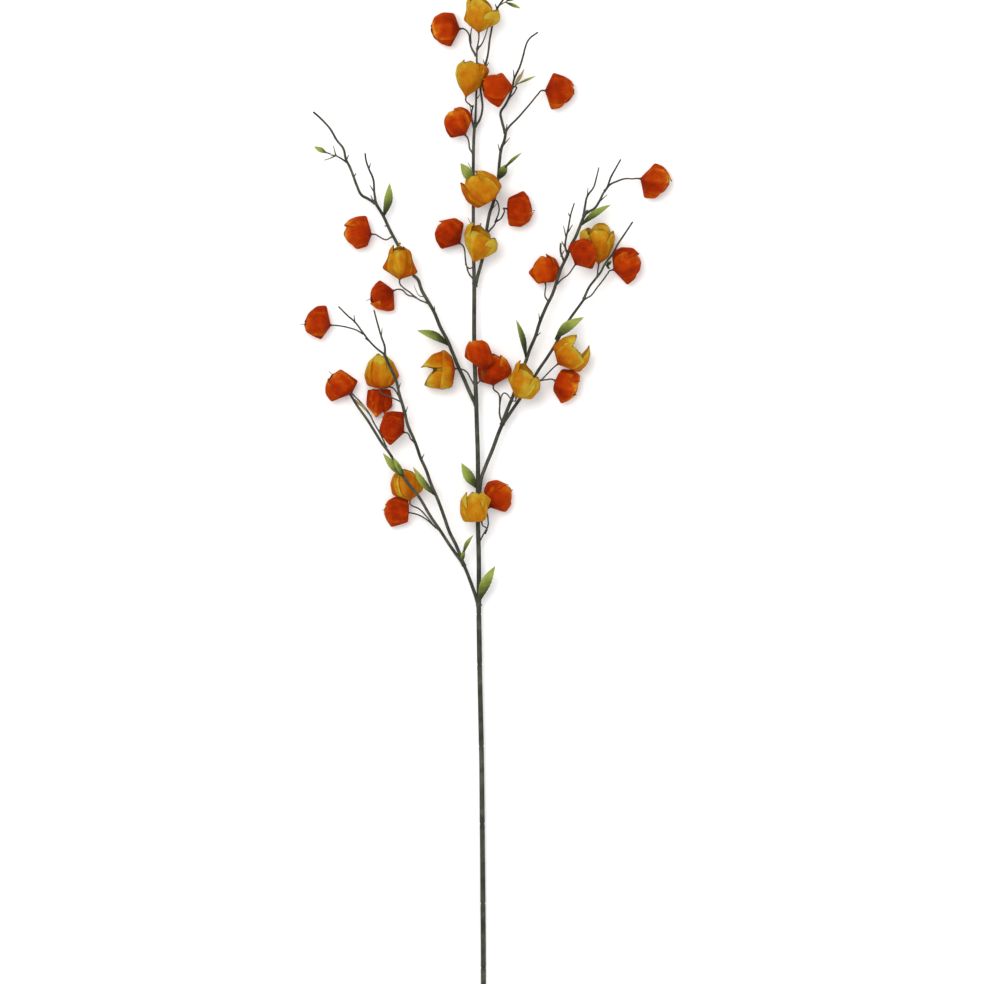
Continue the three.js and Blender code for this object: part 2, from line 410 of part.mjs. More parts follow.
// Each leaf or leafy sprig: the stem that it grows from, and its blades, as root and tip
// [x, y, z], width, and how far its midrib sways to the left of the straight line.
const leaves = [
  {
    name: "leaf_01", on: "main_stem", blades: [
      { root: [-15, 342, 19.3], tip: [-29, 366, 21], width: 12, sway: -1 },
    ],
  },
  {
    name: "leaf_02", on: "top_right_branch", blades: [
      { root: [12, 348, 19.5], tip: [22, 365, 23], width: 10 },
      { root: [18, 359, 22.3], tip: [39, 378, 25], width: 4, sway: 1 },
    ],
  },
  {
    name: "leaf_03", on: "left_upper_branch", blades: [
      { root: [-114, 307, 19], tip: [-107, 344, 24], width: 10, sway: -2 },
    ],
  },
  {
    name: "leaf_04", on: "left_upper_branch", blades: [
      { root: [-41, 165, 21], tip: [-77, 182, 25], width: 10, sway: -3 },
    ],
  },
  {
    name: "leaf_05", on: "left_lower_branch", blades: [
      { root: [-90, 20, 40], tip: [-114, 47, 46], width: 9, sway: 1 },
      { root: [-90, 19, 40], tip: [-103, 43, 47], width: 6 },
    ],
  },
  {
    name: "leaf_06", on: "left_lower_branch", blades: [
      { root: [-56, 0, 33], tip: [-81, 32, 38], width: 8, sway: 2 },
    ],
  },
  {
    name: "leaf_07", on: "main_stem", blades: [
      { root: [-10, 8, 18], tip: [-28, 36, 24], width: 12, sway: 1 },
    ],
  },
  {
    name: "leaf_08", on: "left_lower_branch", blades: [
      { root: [-28, -73, 21], tip: [-25, -58, 25], width: 5 },
      { root: [-26, -64, 24.2], tip: [-15, -43, 27], width: 5, sway: 2 },
    ],
  },
  {
    name: "leaf_09", on: "main_stem", blades: [
      { root: [-9, -117, 16], tip: [9, -77, 24], width: 12, sway: 2 },
    ],
  },
  {
    name: "leaf_10", on: "right_branch", blades: [
      { root: [43, 150, 22.5], tip: [32, 194, 28], width: 7, sway: -2 },
    ],
  },
  {
    name: "leaf_11", on: "right_branch", blades: [
      { root: [75, 172, 25], tip: [106, 196, 38], width: 12, sway: 3 },
    ],
  },
  {
    name: "leaf_12", on: "right_branch", blades: [
      { root: [103, 297, 26], tip: [136, 320, 31], width: 8, sway: 2 },
    ],
  },
  {
    name: "sprig_1", on: "left_upper_branch", blades: [
      { root: [-176, 377, 25.8], tip: [-190, 384, 28], width: 6 },
    ],
    stalk: [[-172, 376, 25.1], [-178, 378, 26.1]],
  },
  {
    name: "sprig_2", on: "top_right_branch", blades: [
      { root: [30, 450, 19.3], tip: [36, 464, 22], width: 3 },
      { root: [33, 453, 20], tip: [41, 470, 24], width: 3 },
      { root: [33, 453, 20], tip: [54, 462, 23], width: 3 },
    ],
    stalk: [[27, 447, 18.4], [30, 450, 19.3], [34, 454, 20.3]],
  },
  {
    name: "sprig_3", on: "right_branch", blades: [
      { root: [131, 253, 35.6], tip: [137, 258, 38], width: 4 },
      { root: [131, 253, 35.6], tip: [135, 249, 36.5], width: 3 },
    ],
    stalk: [[129, 254, 34.5], [134, 253, 35.9]],
  },
  {
    name: "sprig_4", on: "left_lower_branch", blades: [
      { root: [-131, 92, 34], tip: [-140, 103, 35], width: 3 },
      { root: [-134, 96, 34.5], tip: [-148, 108, 32.5], width: 3 },
    ],
    stalk: [[-127, 87, 33.5], [-131, 92, 34.3], [-135, 98, 34.6]],
  },
  {
    name: "sprig_5", on: "main_stem", blades: [
      { root: [21, 544, 24.5], tip: [35, 550, 27], width: 5 },
      { root: [20, 543, 24], tip: [37, 536, 26], width: 4 },
    ],
    stalk: [[14, 540, 22.1], [18, 542, 23.2], [22, 544, 25]],
  },
];

function solidOf(geometry) {
  geometry.deleteAttribute("normal");
  geometry.deleteAttribute("uv");
  const merged = mergeVertices(geometry, weld);
  const vertProperties = merged.attributes.position.array;
  const triVerts = new Uint32Array(merged.index.array);
  return new wasm.Manifold(new wasm.Mesh({ numProp: 3, vertProperties, triVerts }));
}

function meshOf(solid, name, colour) {
  const { vertProperties, triVerts } = solid.getMesh();
  const geometry = new THREE.BufferGeometry();
  geometry.setAttribute("position", new THREE.BufferAttribute(vertProperties, 3));
  geometry.setIndex(new THREE.BufferAttribute(triVerts, 1));
  geometry.computeVertexNormals();
  const roughness = colour === "bark" ? barkRoughness : clothRoughness;
  const material = new THREE.MeshStandardMaterial({ color: colours[colour], roughness, metalness: 0 });
  const mesh = new THREE.Mesh(geometry, material);
  mesh.name = name;
  return mesh;
}

function geometryOf(points, triangles) {
  const geometry = new THREE.BufferGeometry();
  const numbers = points.flatMap((p) => p.toArray());
  geometry.setAttribute("position", new THREE.Float32BufferAttribute(numbers, 3));
  geometry.setIndex(triangles.flat());
  return geometry;
}

// Two triangles for each quad between two rings of the same number of points.
function band(from, to, count, flipped = () => false) {
  return Array.from({ length: count }, (_, k) => {
    const next = (k + 1) % count;
    const [a, b, c, d] = [from + k, from + next, to + next, to + k];
    return flipped(k) ? [[a, b, d], [b, c, d]] : [[a, b, c], [a, c, d]];
  }).flat();
}

// A closed tapered tube along a route, with a ring at each of its points.
function limb(points, [rootRadius, tipRadius], sides) {
  const last = points.length - 1;
  const up = new THREE.Vector3(0, 0, 1);
  const walked = [0];
  points.slice(1).forEach((p, i) => walked.push(walked[i] + p.distanceTo(points[i])));
  const rings = points.flatMap((p, i) => {
    const ahead = points[Math.min(i + 1, last)].clone().sub(points[Math.max(i - 1, 0)]).normalize();
    const across = up.clone().cross(ahead).normalize();
    const lift = ahead.clone().cross(across);
    const radius = THREE.MathUtils.lerp(rootRadius, tipRadius, walked[i] / walked[last]);
    return Array.from({ length: sides }, (_, k) => {
      const turn = (2 * Math.PI * (k + 0.5)) / sides;
      return p.clone()
        .addScaledVector(across, radius * Math.cos(turn))
        .addScaledVector(lift, radius * Math.sin(turn));
    });
  });
  const triangles = [];
  for (let i = 0; i < last; i++) triangles.push(...band(i * sides, (i + 1) * sides, sides));
  for (let k = 1; k < sides - 1; k++) {
    triangles.push([0, k + 1, k]);
    triangles.push([last * sides, last * sides + k, last * sides + k + 1]);
  }
  return solidOf(geometryOf(rings, triangles));
}

// Unit vectors of a husk: ahead to its mouth, left and up.
function axesOf(husk) {
  const heading = THREE.MathUtils.degToRad(husk.heading);
  const tilt = THREE.MathUtils.degToRad(husk.tilt);
  const level = Math.cos(tilt);
  const ahead = new THREE.Vector3(level * Math.cos(heading), level * Math.sin(heading), Math.sin(tilt));
  const left = new THREE.Vector3(-Math.sin(heading), Math.cos(heading), 0);
  return { ahead, left, up: ahead.clone().cross(left) };
}

// The ridges of a husk's four petals, as [along, out] in four places, and their angles from its left.
function ridgesOf({ left, right, front, back, turn = [0, 0] }) {
  const mean = left.map(([along], row) => (along + right[row][0]) / 2);
  const upright = ([depth, share, tip]) => [
    [mean[0], depth],
    [mean[1], depth * bellyShare],
    [mean[2] * share, depth * kneeShare],
    [mean[3] * share, tip],
  ];
  return [
    { places: left, angle: 0 },
    { places: upright(front), angle: 90 + turn[0] },
    { places: right, angle: 180 },
    { places: upright(back), angle: 270 + turn[1] },
  ];
}

function between(from, to, share) {
  return from.map((value, i) => THREE.MathUtils.lerp(value, to[i], share));
}

// The side view of one column of a husk, from the hole to the petal's edge, and its angle.
function columnOf(ridges, column) {
  const lobe = Math.floor(column / columnsPerLobe);
  const place = column % columnsPerLobe;
  const shape = columnShapes[place];
  const share = place / columnsPerLobe;
  const own = ridges[lobe];
  const next = ridges[(lobe + 1) % huskLobes];
  const nextAngle = lobe + 1 < huskLobes ? next.angle : 360;
  const [shoulder, belly, knee, tip] = own.places.map((point, row) => {
    return between(point, next.places[row], share);
  });
  shoulder[1] *= shape.shoulder;
  belly[1] *= shape.belly;
  const shortKnee = between(belly, knee, shape.petal);
  const shortTip = shortKnee.map((value, i) => value + shape.petal * (tip[i] - knee[i]));
  return {
    profile: [[0, huskHole], shoulder, belly, shortKnee, shortTip],
    angle: THREE.MathUtils.degToRad(THREE.MathUtils.lerp(own.angle, nextAngle, share)),
  };
}

// A husk is a thin shell of four pointed lobes that part into petals at its mouth.
function huskSolid(husk) {
  const { ahead, left, up } = axesOf(husk);
  const root = new THREE.Vector3(...husk.root);
  const columns = huskLobes * columnsPerLobe;
  const ridges = ridgesOf(husk);
  const around = Array.from({ length: columns }, (_, k) => columnOf(ridges, k));
  const rows = around[0].profile.length;
  const outside = Array.from({ length: rows }, (_, row) => around.map(({ profile, angle }) => {
    const [along, out] = profile[row];
    return root.clone()
      .addScaledVector(ahead, along)
      .addScaledVector(left, out * Math.cos(angle))
      .addScaledVector(up, out * Math.sin(angle));
  }));
  const inside = outside.map((ring, row) => ring.map((point, k) => {
    if (row === 0) return point.clone().addScaledVector(ahead, huskWall);
    const along = outside[Math.min(row + 1, rows - 1)][k].clone().sub(outside[row - 1][k]);
    const across = ring[(k + 1) % columns].clone().sub(ring[(k + columns - 1) % columns]);
    const outwards = across.cross(along).normalize();
    return point.clone().addScaledVector(outwards, -huskWall);
  }));
  const inner = rows * columns;
  const flipped = (k) => k % columnsPerLobe >= columnsPerLobe / 2;
  const triangles = [];
  for (let row = 0; row < rows - 1; row++) {
    const shell = band(row * columns, (row + 1) * columns, columns, flipped);
    triangles.push(...shell);
    triangles.push(...shell.map(([a, b, c]) => [a + inner, c + inner, b + inner]));
  }
  triangles.push(...band((rows - 1) * columns, inner + (rows - 1) * columns, columns));
  triangles.push(...band(inner, 0, columns));
  return solidOf(geometryOf([...outside.flat(), ...inside.flat()], triangles));
}

// The last stretch of a pedicel: straight up to its husk, through the hole and into it.
function pedicelEnd(husk) {
  const { ahead } = axesOf(husk);
  const root = new THREE.Vector3(...husk.root);
  return [-straightRun, husk.pin ?? insideRun].map((along) => root.clone().addScaledVector(ahead, along));
}

function limbSolid({ radius, sides, route, carries }) {
  const points = route.map((p) => new THREE.Vector3(...p));
  if (carries) points.push(...pedicelEnd(husks[carries - 1]));
  return limb(points, radius, sides);
}

// A stem with a gap round it, which cuts what grows from it.
function withGap(name) {
  return joined(stems[name].map((part) => {
    return limbSolid({ ...part, radius: part.radius.map((r) => r + clearance), carries: undefined });
  }));
}

// A blade folded along its midrib, which arches a little between its root and its tip.
// A small one is a folded diamond.
function blade({ root, tip, width, sway = 0 }) {
  const from = new THREE.Vector3(...root);
  const along = new THREE.Vector3(...tip).sub(from);
  const across = new THREE.Vector3(0, 0, 1).cross(along).normalize();
  const out = along.clone().cross(across).normalize();
  const rib = (share) => from.clone()
    .addScaledVector(along, share)
    .addScaledVector(across, sway * Math.sin(Math.PI * share))
    .addScaledVector(out, along.length() * leafArch * Math.sin(Math.PI * share));
  const edge = (share, side) => rib(share)
    .addScaledVector(across, side)
    .addScaledVector(out, leafFold * Math.abs(side));
  if (width < smallLeaf) {
    const corners = [rib(0), edge(widestShare, -width / 2), rib(1), edge(widestShare, width / 2)];
    return plate(corners, [[0, 1, 2], [0, 2, 3]], [0, 1, 2, 3], out);
  }
  const rows = leafOutline.map(([share, half]) => {
    const side = (half * width) / 2;
    return [edge(share, side), rib(share), edge(share, -side)];
  });
  const last = rows.length - 1;
  const face = [];
  for (let row = 0; row < last; row++) {
    const [l, m, r] = [0, 1, 2].map((k) => row * 3 + k);
    face.push([l, m, m + 3], [l, m + 3, l + 3], [m, r, m + 3], [r, r + 3, m + 3]);
  }
  const upRight = rows.map((_, row) => row * 3 + 2);
  const downLeft = rows.map((_, row) => (last - row) * 3);
  return plate(rows.flat(), face, [1, ...upRight, last * 3 + 1, ...downLeft], out);
}

// A closed sheet: its upper face, its border in the face's own order, and the way its wall goes.
function plate(top, face, border, out) {
  const under = top.length;
  const bottom = top.map((point) => point.clone().addScaledVector(out, -leafWall));
  const rim = border.flatMap((a, i) => {
    const b = border[(i + 1) % border.length];
    return [[b, a, a + under], [b, a + under, b + under]];
  });
  const back = face.map(([a, b, c]) => [a + under, c + under, b + under]);
  return solidOf(geometryOf([...top, ...bottom], [...face, ...back, ...rim]));
}

// What is left of a solid when the scraps of a cut are dropped.
function largest(solid) {
  return solid.decompose().sort((a, b) => b.volume() - a.volume())[0];
}

function joined(solids) {
  return solids.reduce((whole, part) => whole.add(part));
}

// Everything under the table's top, which leaves a small flat spot on what rests on it.
const underTable = solidOf(new THREE.BoxGeometry(tableReach, tableReach, tableReach)
  .translate(0, 0, -tableReach / 2));

const spray = new THREE.Group();
const mainWithGap = withGap("main_stem");
Object.entries(stems).forEach(([name, limbs]) => {
  let whole = joined(limbs.map(limbSolid)).subtract(underTable);
  if (name !== "main_stem") whole = largest(whole.subtract(mainWithGap));
  spray.add(meshOf(whole, name, "bark"));
});
husks.forEach((husk, i) => {
  const name = "husk_" + String(i + 1).padStart(2, "0");
  spray.add(meshOf(huskSolid(husk).subtract(underTable), name, husk.colour));
});
leaves.forEach(({ name, on, blades, stalk }) => {
  const parts = blades.map(blade);
  if (stalk) parts.push(limbSolid({ radius: sprigStalk, sides: sprigSides, route: stalk }));
  const whole = largest(joined(parts).subtract(withGap(on)).subtract(underTable));
  spray.add(meshOf(whole, name, "green"));
});

export default spray;
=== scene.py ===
import bpy
import math
import random
import numpy as np
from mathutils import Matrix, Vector


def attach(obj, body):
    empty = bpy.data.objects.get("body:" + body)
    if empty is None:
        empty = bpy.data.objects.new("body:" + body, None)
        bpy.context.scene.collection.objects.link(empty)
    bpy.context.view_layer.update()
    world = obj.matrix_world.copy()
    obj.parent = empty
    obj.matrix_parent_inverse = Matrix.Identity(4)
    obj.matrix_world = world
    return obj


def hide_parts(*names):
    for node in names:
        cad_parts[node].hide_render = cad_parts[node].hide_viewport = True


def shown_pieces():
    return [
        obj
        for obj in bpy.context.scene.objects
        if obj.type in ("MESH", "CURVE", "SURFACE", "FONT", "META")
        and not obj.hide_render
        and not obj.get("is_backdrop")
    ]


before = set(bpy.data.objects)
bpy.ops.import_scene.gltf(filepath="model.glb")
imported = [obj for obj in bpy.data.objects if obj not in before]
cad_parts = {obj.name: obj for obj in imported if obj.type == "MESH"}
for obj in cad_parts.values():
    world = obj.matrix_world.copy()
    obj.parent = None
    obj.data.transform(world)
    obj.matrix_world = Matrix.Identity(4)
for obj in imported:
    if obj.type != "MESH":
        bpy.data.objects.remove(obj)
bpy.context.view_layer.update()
mm = 0.001
restHeight = 0.05  # mm above the table, where whatever touches it lies flat
bpy.ops.object.select_all(action="DESELECT")


def linear(hexColour):  # sRGB hex to the linear values that a shader takes
    parts = [int(hexColour[k:k + 2], 16) / 255 for k in (1, 3, 5)]
    return [c / 12.92 if c <= 0.04045 else ((c + 0.055) / 1.055) ** 2.4 for c in parts] + [1]


def addNode(tree, kind, settings=None, values=None, links=None, stops=()):
    made = tree.nodes.new("ShaderNode" + kind)
    for key, value in (settings or {}).items():
        setattr(made, key, value)
    for key, value in (values or {}).items():
        made.inputs[key].default_value = value
    for key, source in (links or {}).items():
        tree.links.new(source, made.inputs[key])
    for _ in stops[2:]:  # a ramp starts with two
        made.color_ramp.elements.new(0.5)
    for k, (place, colour) in enumerate(stops):
        element = made.color_ramp.elements[k]
        element.position = place
        element.color = linear(colour) if isinstance(colour, str) else (colour,) * 3 + (1,)
    return made


def startMaterial(name):
    material = bpy.data.materials.new(name)
    material.use_nodes = True
    tree = material.node_tree
    return material, tree, tree.nodes["Principled BSDF"]


def setSurface(tree, surface, look, colour, bump):
    tree.links.new(colour, surface.inputs["Base Color"])
    tree.links.new(bump.outputs["Normal"], surface.inputs["Normal"])
    surface.inputs["Roughness"].default_value = look["roughness"]
    surface.inputs["Specular IOR Level"].default_value = look["specular"]


def readPoints(piece):
    points = np.empty(len(piece.data.vertices) * 3)
    piece.data.vertices.foreach_get("co", points)
    return points.reshape(-1, 3)


def writePoints(piece, points):
    points = points.copy()
    points[:, 2] = np.maximum(points[:, 2], restHeight * mm)
    piece.data.vertices.foreach_set("co", points.ravel())
    piece.data.update()


def giveShade(piece, values):  # a value at each point, from 0 for deep to 1 for light, for the dye with painted shade and light added in
    attribute = piece.data.attributes.new("blush", "FLOAT", "POINT")
    attribute.data.foreach_set("value", np.ascontiguousarray(values, dtype=np.float32))


def selectOnly(piece):
    bpy.ops.object.select_all(action="DESELECT")
    piece.select_set(True)
    bpy.context.view_layer.objects.active = piece


def selectPoints(piece, wanted):  # in edit mode, by place
    bpy.ops.mesh.select_all(action="DESELECT")
    bpy.ops.object.mode_set(mode="OBJECT")
    for vertex in piece.data.vertices:
        vertex.select = wanted(vertex.co)
    bpy.ops.object.mode_set(mode="EDIT")


def ownCopy(piece, name):
    copy = piece.copy()
    copy.data = piece.data.copy()
    copy.name = copy.data.name = name
    bpy.context.collection.objects.link(copy)
    return copy


def smoothPiece(piece, degrees):  # edges that turn by more stay sharp
    selectOnly(piece)
    bpy.ops.object.shade_smooth_by_angle(angle=math.radians(degrees))


def finishPiece(piece, material, node):
    piece.data.materials.clear()
    piece.data.materials.append(material)
    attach(piece, "root")
    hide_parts(node)


# the camera looks straight down and sees this width at this level, all in mm; clip is in metres
view = dict(centre=(5.5, 4.4), width=1082.4, level=20, height=8000, sensor=36, clip=(0.1, 100))
table = dict(side=6, colour="#f6f6f5", roughness=0.7)
lamps = [
    dict(name="keyLight", place=(-0.6, 0.8, 3.0), size=1.6, watts=56),
    dict(name="fillLight", place=(0.6, -0.4, 3.0), size=1.6, watts=12),
]
daylight = dict(colour="#ffffff", strength=0.8)


def makeStudio():
    bpy.ops.object.camera_add(location=[v * mm for v in (*view["centre"], view["height"])])
    camera = bpy.context.object
    camera.data.sensor_width = view["sensor"]
    camera.data.lens = view["sensor"] * (view["height"] - view["level"]) / view["width"]
    camera.data.clip_start, camera.data.clip_end = view["clip"]
    bpy.context.scene.camera = camera

    bpy.ops.mesh.primitive_plane_add(size=table["side"], location=(0, 0, 0))
    floor = bpy.context.object
    floor.name = "table"
    material, tree, surface = startMaterial("paintedTable")
    surface.inputs["Base Color"].default_value = linear(table["colour"])
    surface.inputs["Roughness"].default_value = table["roughness"]
    floor.data.materials.append(material)
    floor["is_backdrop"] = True

    for lamp in lamps:
        bpy.ops.object.light_add(type="AREA", location=lamp["place"])
        light = bpy.context.object
        light.name = lamp["name"]
        light.data.shape = "DISK"
        light.data.size = lamp["size"]
        light.data.energy = lamp["watts"]
        light.rotation_euler = (-Vector(lamp["place"])).to_track_quat("-Z", "Y").to_euler()

    world = bpy.data.worlds.new("softRoom")
    world.use_nodes = True
    background = world.node_tree.nodes["Background"]
    background.inputs["Color"].default_value = linear(daylight["colour"])
    background.inputs["Strength"].default_value = daylight["strength"]
    bpy.context.scene.world = world
    bpy.context.scene.view_settings.view_transform = "Standard"


makeStudio()
print("studio done")


clothColours = {  # from the deep end of the dye to the light end
    "red": [(0.0, "#781c02"), (0.3, "#942702"), (0.55, "#a43603"), (0.8, "#b6540a"), (1.0, "#ca8420")],
    "orange": [(0.0, "#8e2401"), (0.35, "#a43303"), (0.6, "#b04a05"), (0.85, "#b8640c"), (1.0, "#c88a22")],
    "yellow": [(0.0, "#963a02"), (0.25, "#a04c04"), (0.5, "#a8640a"), (0.75, "#ae7812"), (1.0, "#b49a30")],
}
cloth = dict(clouds={"Scale": 130, "Detail": 4, "Roughness": 0.55}, cloudGain={1: 0.9, 2: -0.47},
             ribs={"Scale": 3.4, "Distortion": 1.2, "Detail": 2, "Detail Scale": 1.5},
             ribTone=[(0.0, 0.955), (0.6, 1.0)], ribRelief={"Strength": 0.2, "Distance": 0.0003},
             edgeTone=[(0.0, 1.0), (0.93, 1.0), (1.0, "#a89078")],
             weave={"Scale": 2000, "Detail": 1}, weaveRelief={"Strength": 0.2, "Distance": 0.0001},
             roughness=0.9, specular=0.04, through=0.3, reach=3, tint=(1, 0.4, 0.15))
bark = dict(streaks={"Scale": 620, "Detail": 3, "Roughness": 0.6}, stretch=(1, 0.3, 1), share=0.5,
            patches={"Scale": 70, "Detail": 2},
            colours=[(0.55, "#24261e"), (0.75, "#35372c"), (0.95, "#4b4a3c")],
            relief={"Strength": 0.5, "Distance": 0.0003}, roughness=0.75, specular=0.25)
greenery = dict(clouds={"Scale": 220, "Detail": 2}, cloudGain={1: 0.36, 2: -0.18},
                veins={"Scale": 4.2, "Distortion": 0.6}, veinSlant=-0.7, veinTone=[(0.0, 0.84), (0.4, 1.0)],
                midrib=[(0.0, 1.0), (0.07, 0.0)], midribDepth=-2.0,
                colours=[(0.0, "#262b13"), (0.25, "#3f4722"), (0.5, "#667230"), (0.7, "#808c3b"),
                         (0.85, "#939d49"), (1.0, "#9c8a5a")],
                relief={"Strength": 0.5, "Distance": 0.0004}, roughness=0.8, specular=0.2, lightest=0.85)
multiply = {"data_type": "RGBA", "blend_type": "MULTIPLY"}
multiplyAdd = {"operation": "MULTIPLY_ADD"}
bands = {"wave_type": "BANDS", "bands_direction": "X"}


# the piece's own blush, its dye with painted shade and light added in, broken up by clouds, picks the
# colour from the dye's ramp
def addDye(tree, place, look, stops):
    shade = addNode(tree, "Attribute", {"attribute_name": "blush"})
    clouds = addNode(tree, "TexNoise", None, look["clouds"], {"Vector": place.outputs["Object"]})
    cloudy = addNode(tree, "Math", multiplyAdd, look["cloudGain"], {0: clouds.outputs["Fac"]})
    dyed = addNode(tree, "Math", {"operation": "ADD", "use_clamp": True},
                   links={0: shade.outputs["Fac"], 1: cloudy.outputs[0]})
    return addNode(tree, "ValToRGB", links={0: dyed.outputs[0]}, stops=stops)


def addAside(tree, uv):  # how far a point is from the line down the middle, up to 0.5
    centred = addNode(tree, "Math", {"operation": "SUBTRACT"}, {1: 0.5}, {0: uv.outputs["X"]})
    return addNode(tree, "Math", {"operation": "ABSOLUTE"}, links={0: centred.outputs[0]})


# Woven polyester satin, dyed by hand and hot-pressed over a mould: matt, with fine ribs that run from the
# stem to the petal's tip, a dye that clouds from deep to light every 6 to 10 mm, and a darker sealed edge.
# The blush it reads also holds painted shade and light on the petals' folds.
def makeCloth(name, stops):
    material, tree, surface = startMaterial(name)
    place = addNode(tree, "TexCoord")
    uv = addNode(tree, "SeparateXYZ", links={0: place.outputs["UV"]})
    dye = addDye(tree, place, cloth, stops)

    # about eleven ribs across a petal
    ribs = addNode(tree, "TexWave", bands, cloth["ribs"], {"Vector": place.outputs["UV"]})
    ribTone = addNode(tree, "ValToRGB", links={0: ribs.outputs["Fac"]}, stops=cloth["ribTone"])
    ribbed = addNode(tree, "Mix", multiply, {0: 1.0},
                     {6: dye.outputs["Color"], 7: ribTone.outputs["Color"]})

    # distance from the middle and from the tip gives the darker edge, which fades in over 1 to 2 mm
    aside = addAside(tree, uv)
    doubled = addNode(tree, "Math", {"operation": "MULTIPLY"}, {1: 2.0}, {0: aside.outputs[0]})
    furthest = addNode(tree, "Math", {"operation": "MAXIMUM"},
                       links={0: doubled.outputs[0], 1: uv.outputs["Y"]})
    edgeTone = addNode(tree, "ValToRGB", links={0: furthest.outputs[0]}, stops=cloth["edgeTone"])
    edged = addNode(tree, "Mix", multiply, {0: 1.0},
                    {6: ribbed.outputs[2], 7: edgeTone.outputs["Color"]})

    # threads are 0.15 mm apart in real satin; they are drawn at 0.5 mm so that they show
    weave = addNode(tree, "TexNoise", None, cloth["weave"], {"Vector": place.outputs["Object"]})
    lines = addNode(tree, "Bump", None, cloth["ribRelief"], {"Height": ribs.outputs["Fac"]})
    grain = addNode(tree, "Bump", None, cloth["weaveRelief"],
                    {"Height": weave.outputs["Fac"], "Normal": lines.outputs["Normal"]})
    setSurface(tree, surface, cloth, edged.outputs[2], grain)
    # light comes through the single sheet, so that no fold is black
    surface.inputs["Subsurface Weight"].default_value = cloth["through"]
    surface.inputs["Subsurface Scale"].default_value = cloth["reach"] * mm
    surface.inputs["Subsurface Radius"].default_value = cloth["tint"]
    return material


# Polyethylene moulded over wire, grey green and matt: streaks 1.6 mm apart along it, and paler
# worn spots every 14 mm.
def makeBark():
    material, tree, surface = startMaterial("mouldedBark")
    place = addNode(tree, "TexCoord")
    longways = addNode(tree, "Mapping", None, {"Scale": bark["stretch"]},
                       {"Vector": place.outputs["Object"]})
    streaks = addNode(tree, "TexNoise", None, bark["streaks"], {"Vector": longways.outputs[0]})
    patches = addNode(tree, "TexNoise", None, bark["patches"], {"Vector": place.outputs["Object"]})
    both = addNode(tree, "Math", multiplyAdd, {1: bark["share"]},
                   {0: streaks.outputs["Fac"], 2: patches.outputs["Fac"]})
    tone = addNode(tree, "ValToRGB", links={0: both.outputs[0]}, stops=bark["colours"])
    bump = addNode(tree, "Bump", None, bark["relief"], {"Height": streaks.outputs["Fac"]})
    setSurface(tree, surface, bark, tone.outputs["Color"], bump)
    return material


# The same satin in green with pressed veins, about thirteen on a side: darker towards its root, partly its
# printed colour and partly painted shade of the fold there, with painted shade on one side of the folded
# blade and painted light on the other, light at its tip, in clouds of 4.5 mm.
def makeGreenery():
    material, tree, surface = startMaterial("pressedLeafCloth")
    place = addNode(tree, "TexCoord")
    uv = addNode(tree, "SeparateXYZ", links={0: place.outputs["UV"]})
    dye = addDye(tree, place, greenery, greenery["colours"])

    aside = addAside(tree, uv)
    slant = addNode(tree, "Math", multiplyAdd, {1: greenery["veinSlant"]},
                    {0: aside.outputs[0], 2: uv.outputs["Y"]})
    across = addNode(tree, "CombineXYZ", links={"X": slant.outputs[0]})
    veins = addNode(tree, "TexWave", bands, greenery["veins"], {"Vector": across.outputs[0]})
    midrib = addNode(tree, "ValToRGB", links={0: aside.outputs[0]}, stops=greenery["midrib"])
    height = addNode(tree, "Math", multiplyAdd, {1: greenery["midribDepth"]},
                     {0: midrib.outputs["Color"], 2: veins.outputs["Fac"]})
    veinTone = addNode(tree, "ValToRGB", links={0: veins.outputs["Fac"]}, stops=greenery["veinTone"])
    veined = addNode(tree, "Mix", multiply, {0: 1.0},
                     {6: dye.outputs["Color"], 7: veinTone.outputs["Color"]})
    bump = addNode(tree, "Bump", None, greenery["relief"], {"Height": height.outputs[0]})
    setSurface(tree, surface, greenery, veined.outputs[2], bump)
    return material


cloths = {name: makeCloth(name + "HuskSatin", stops) for name, stops in clothColours.items()}
barkMaterial = makeBark()
leafMaterial = makeGreenery()
print("materials done")
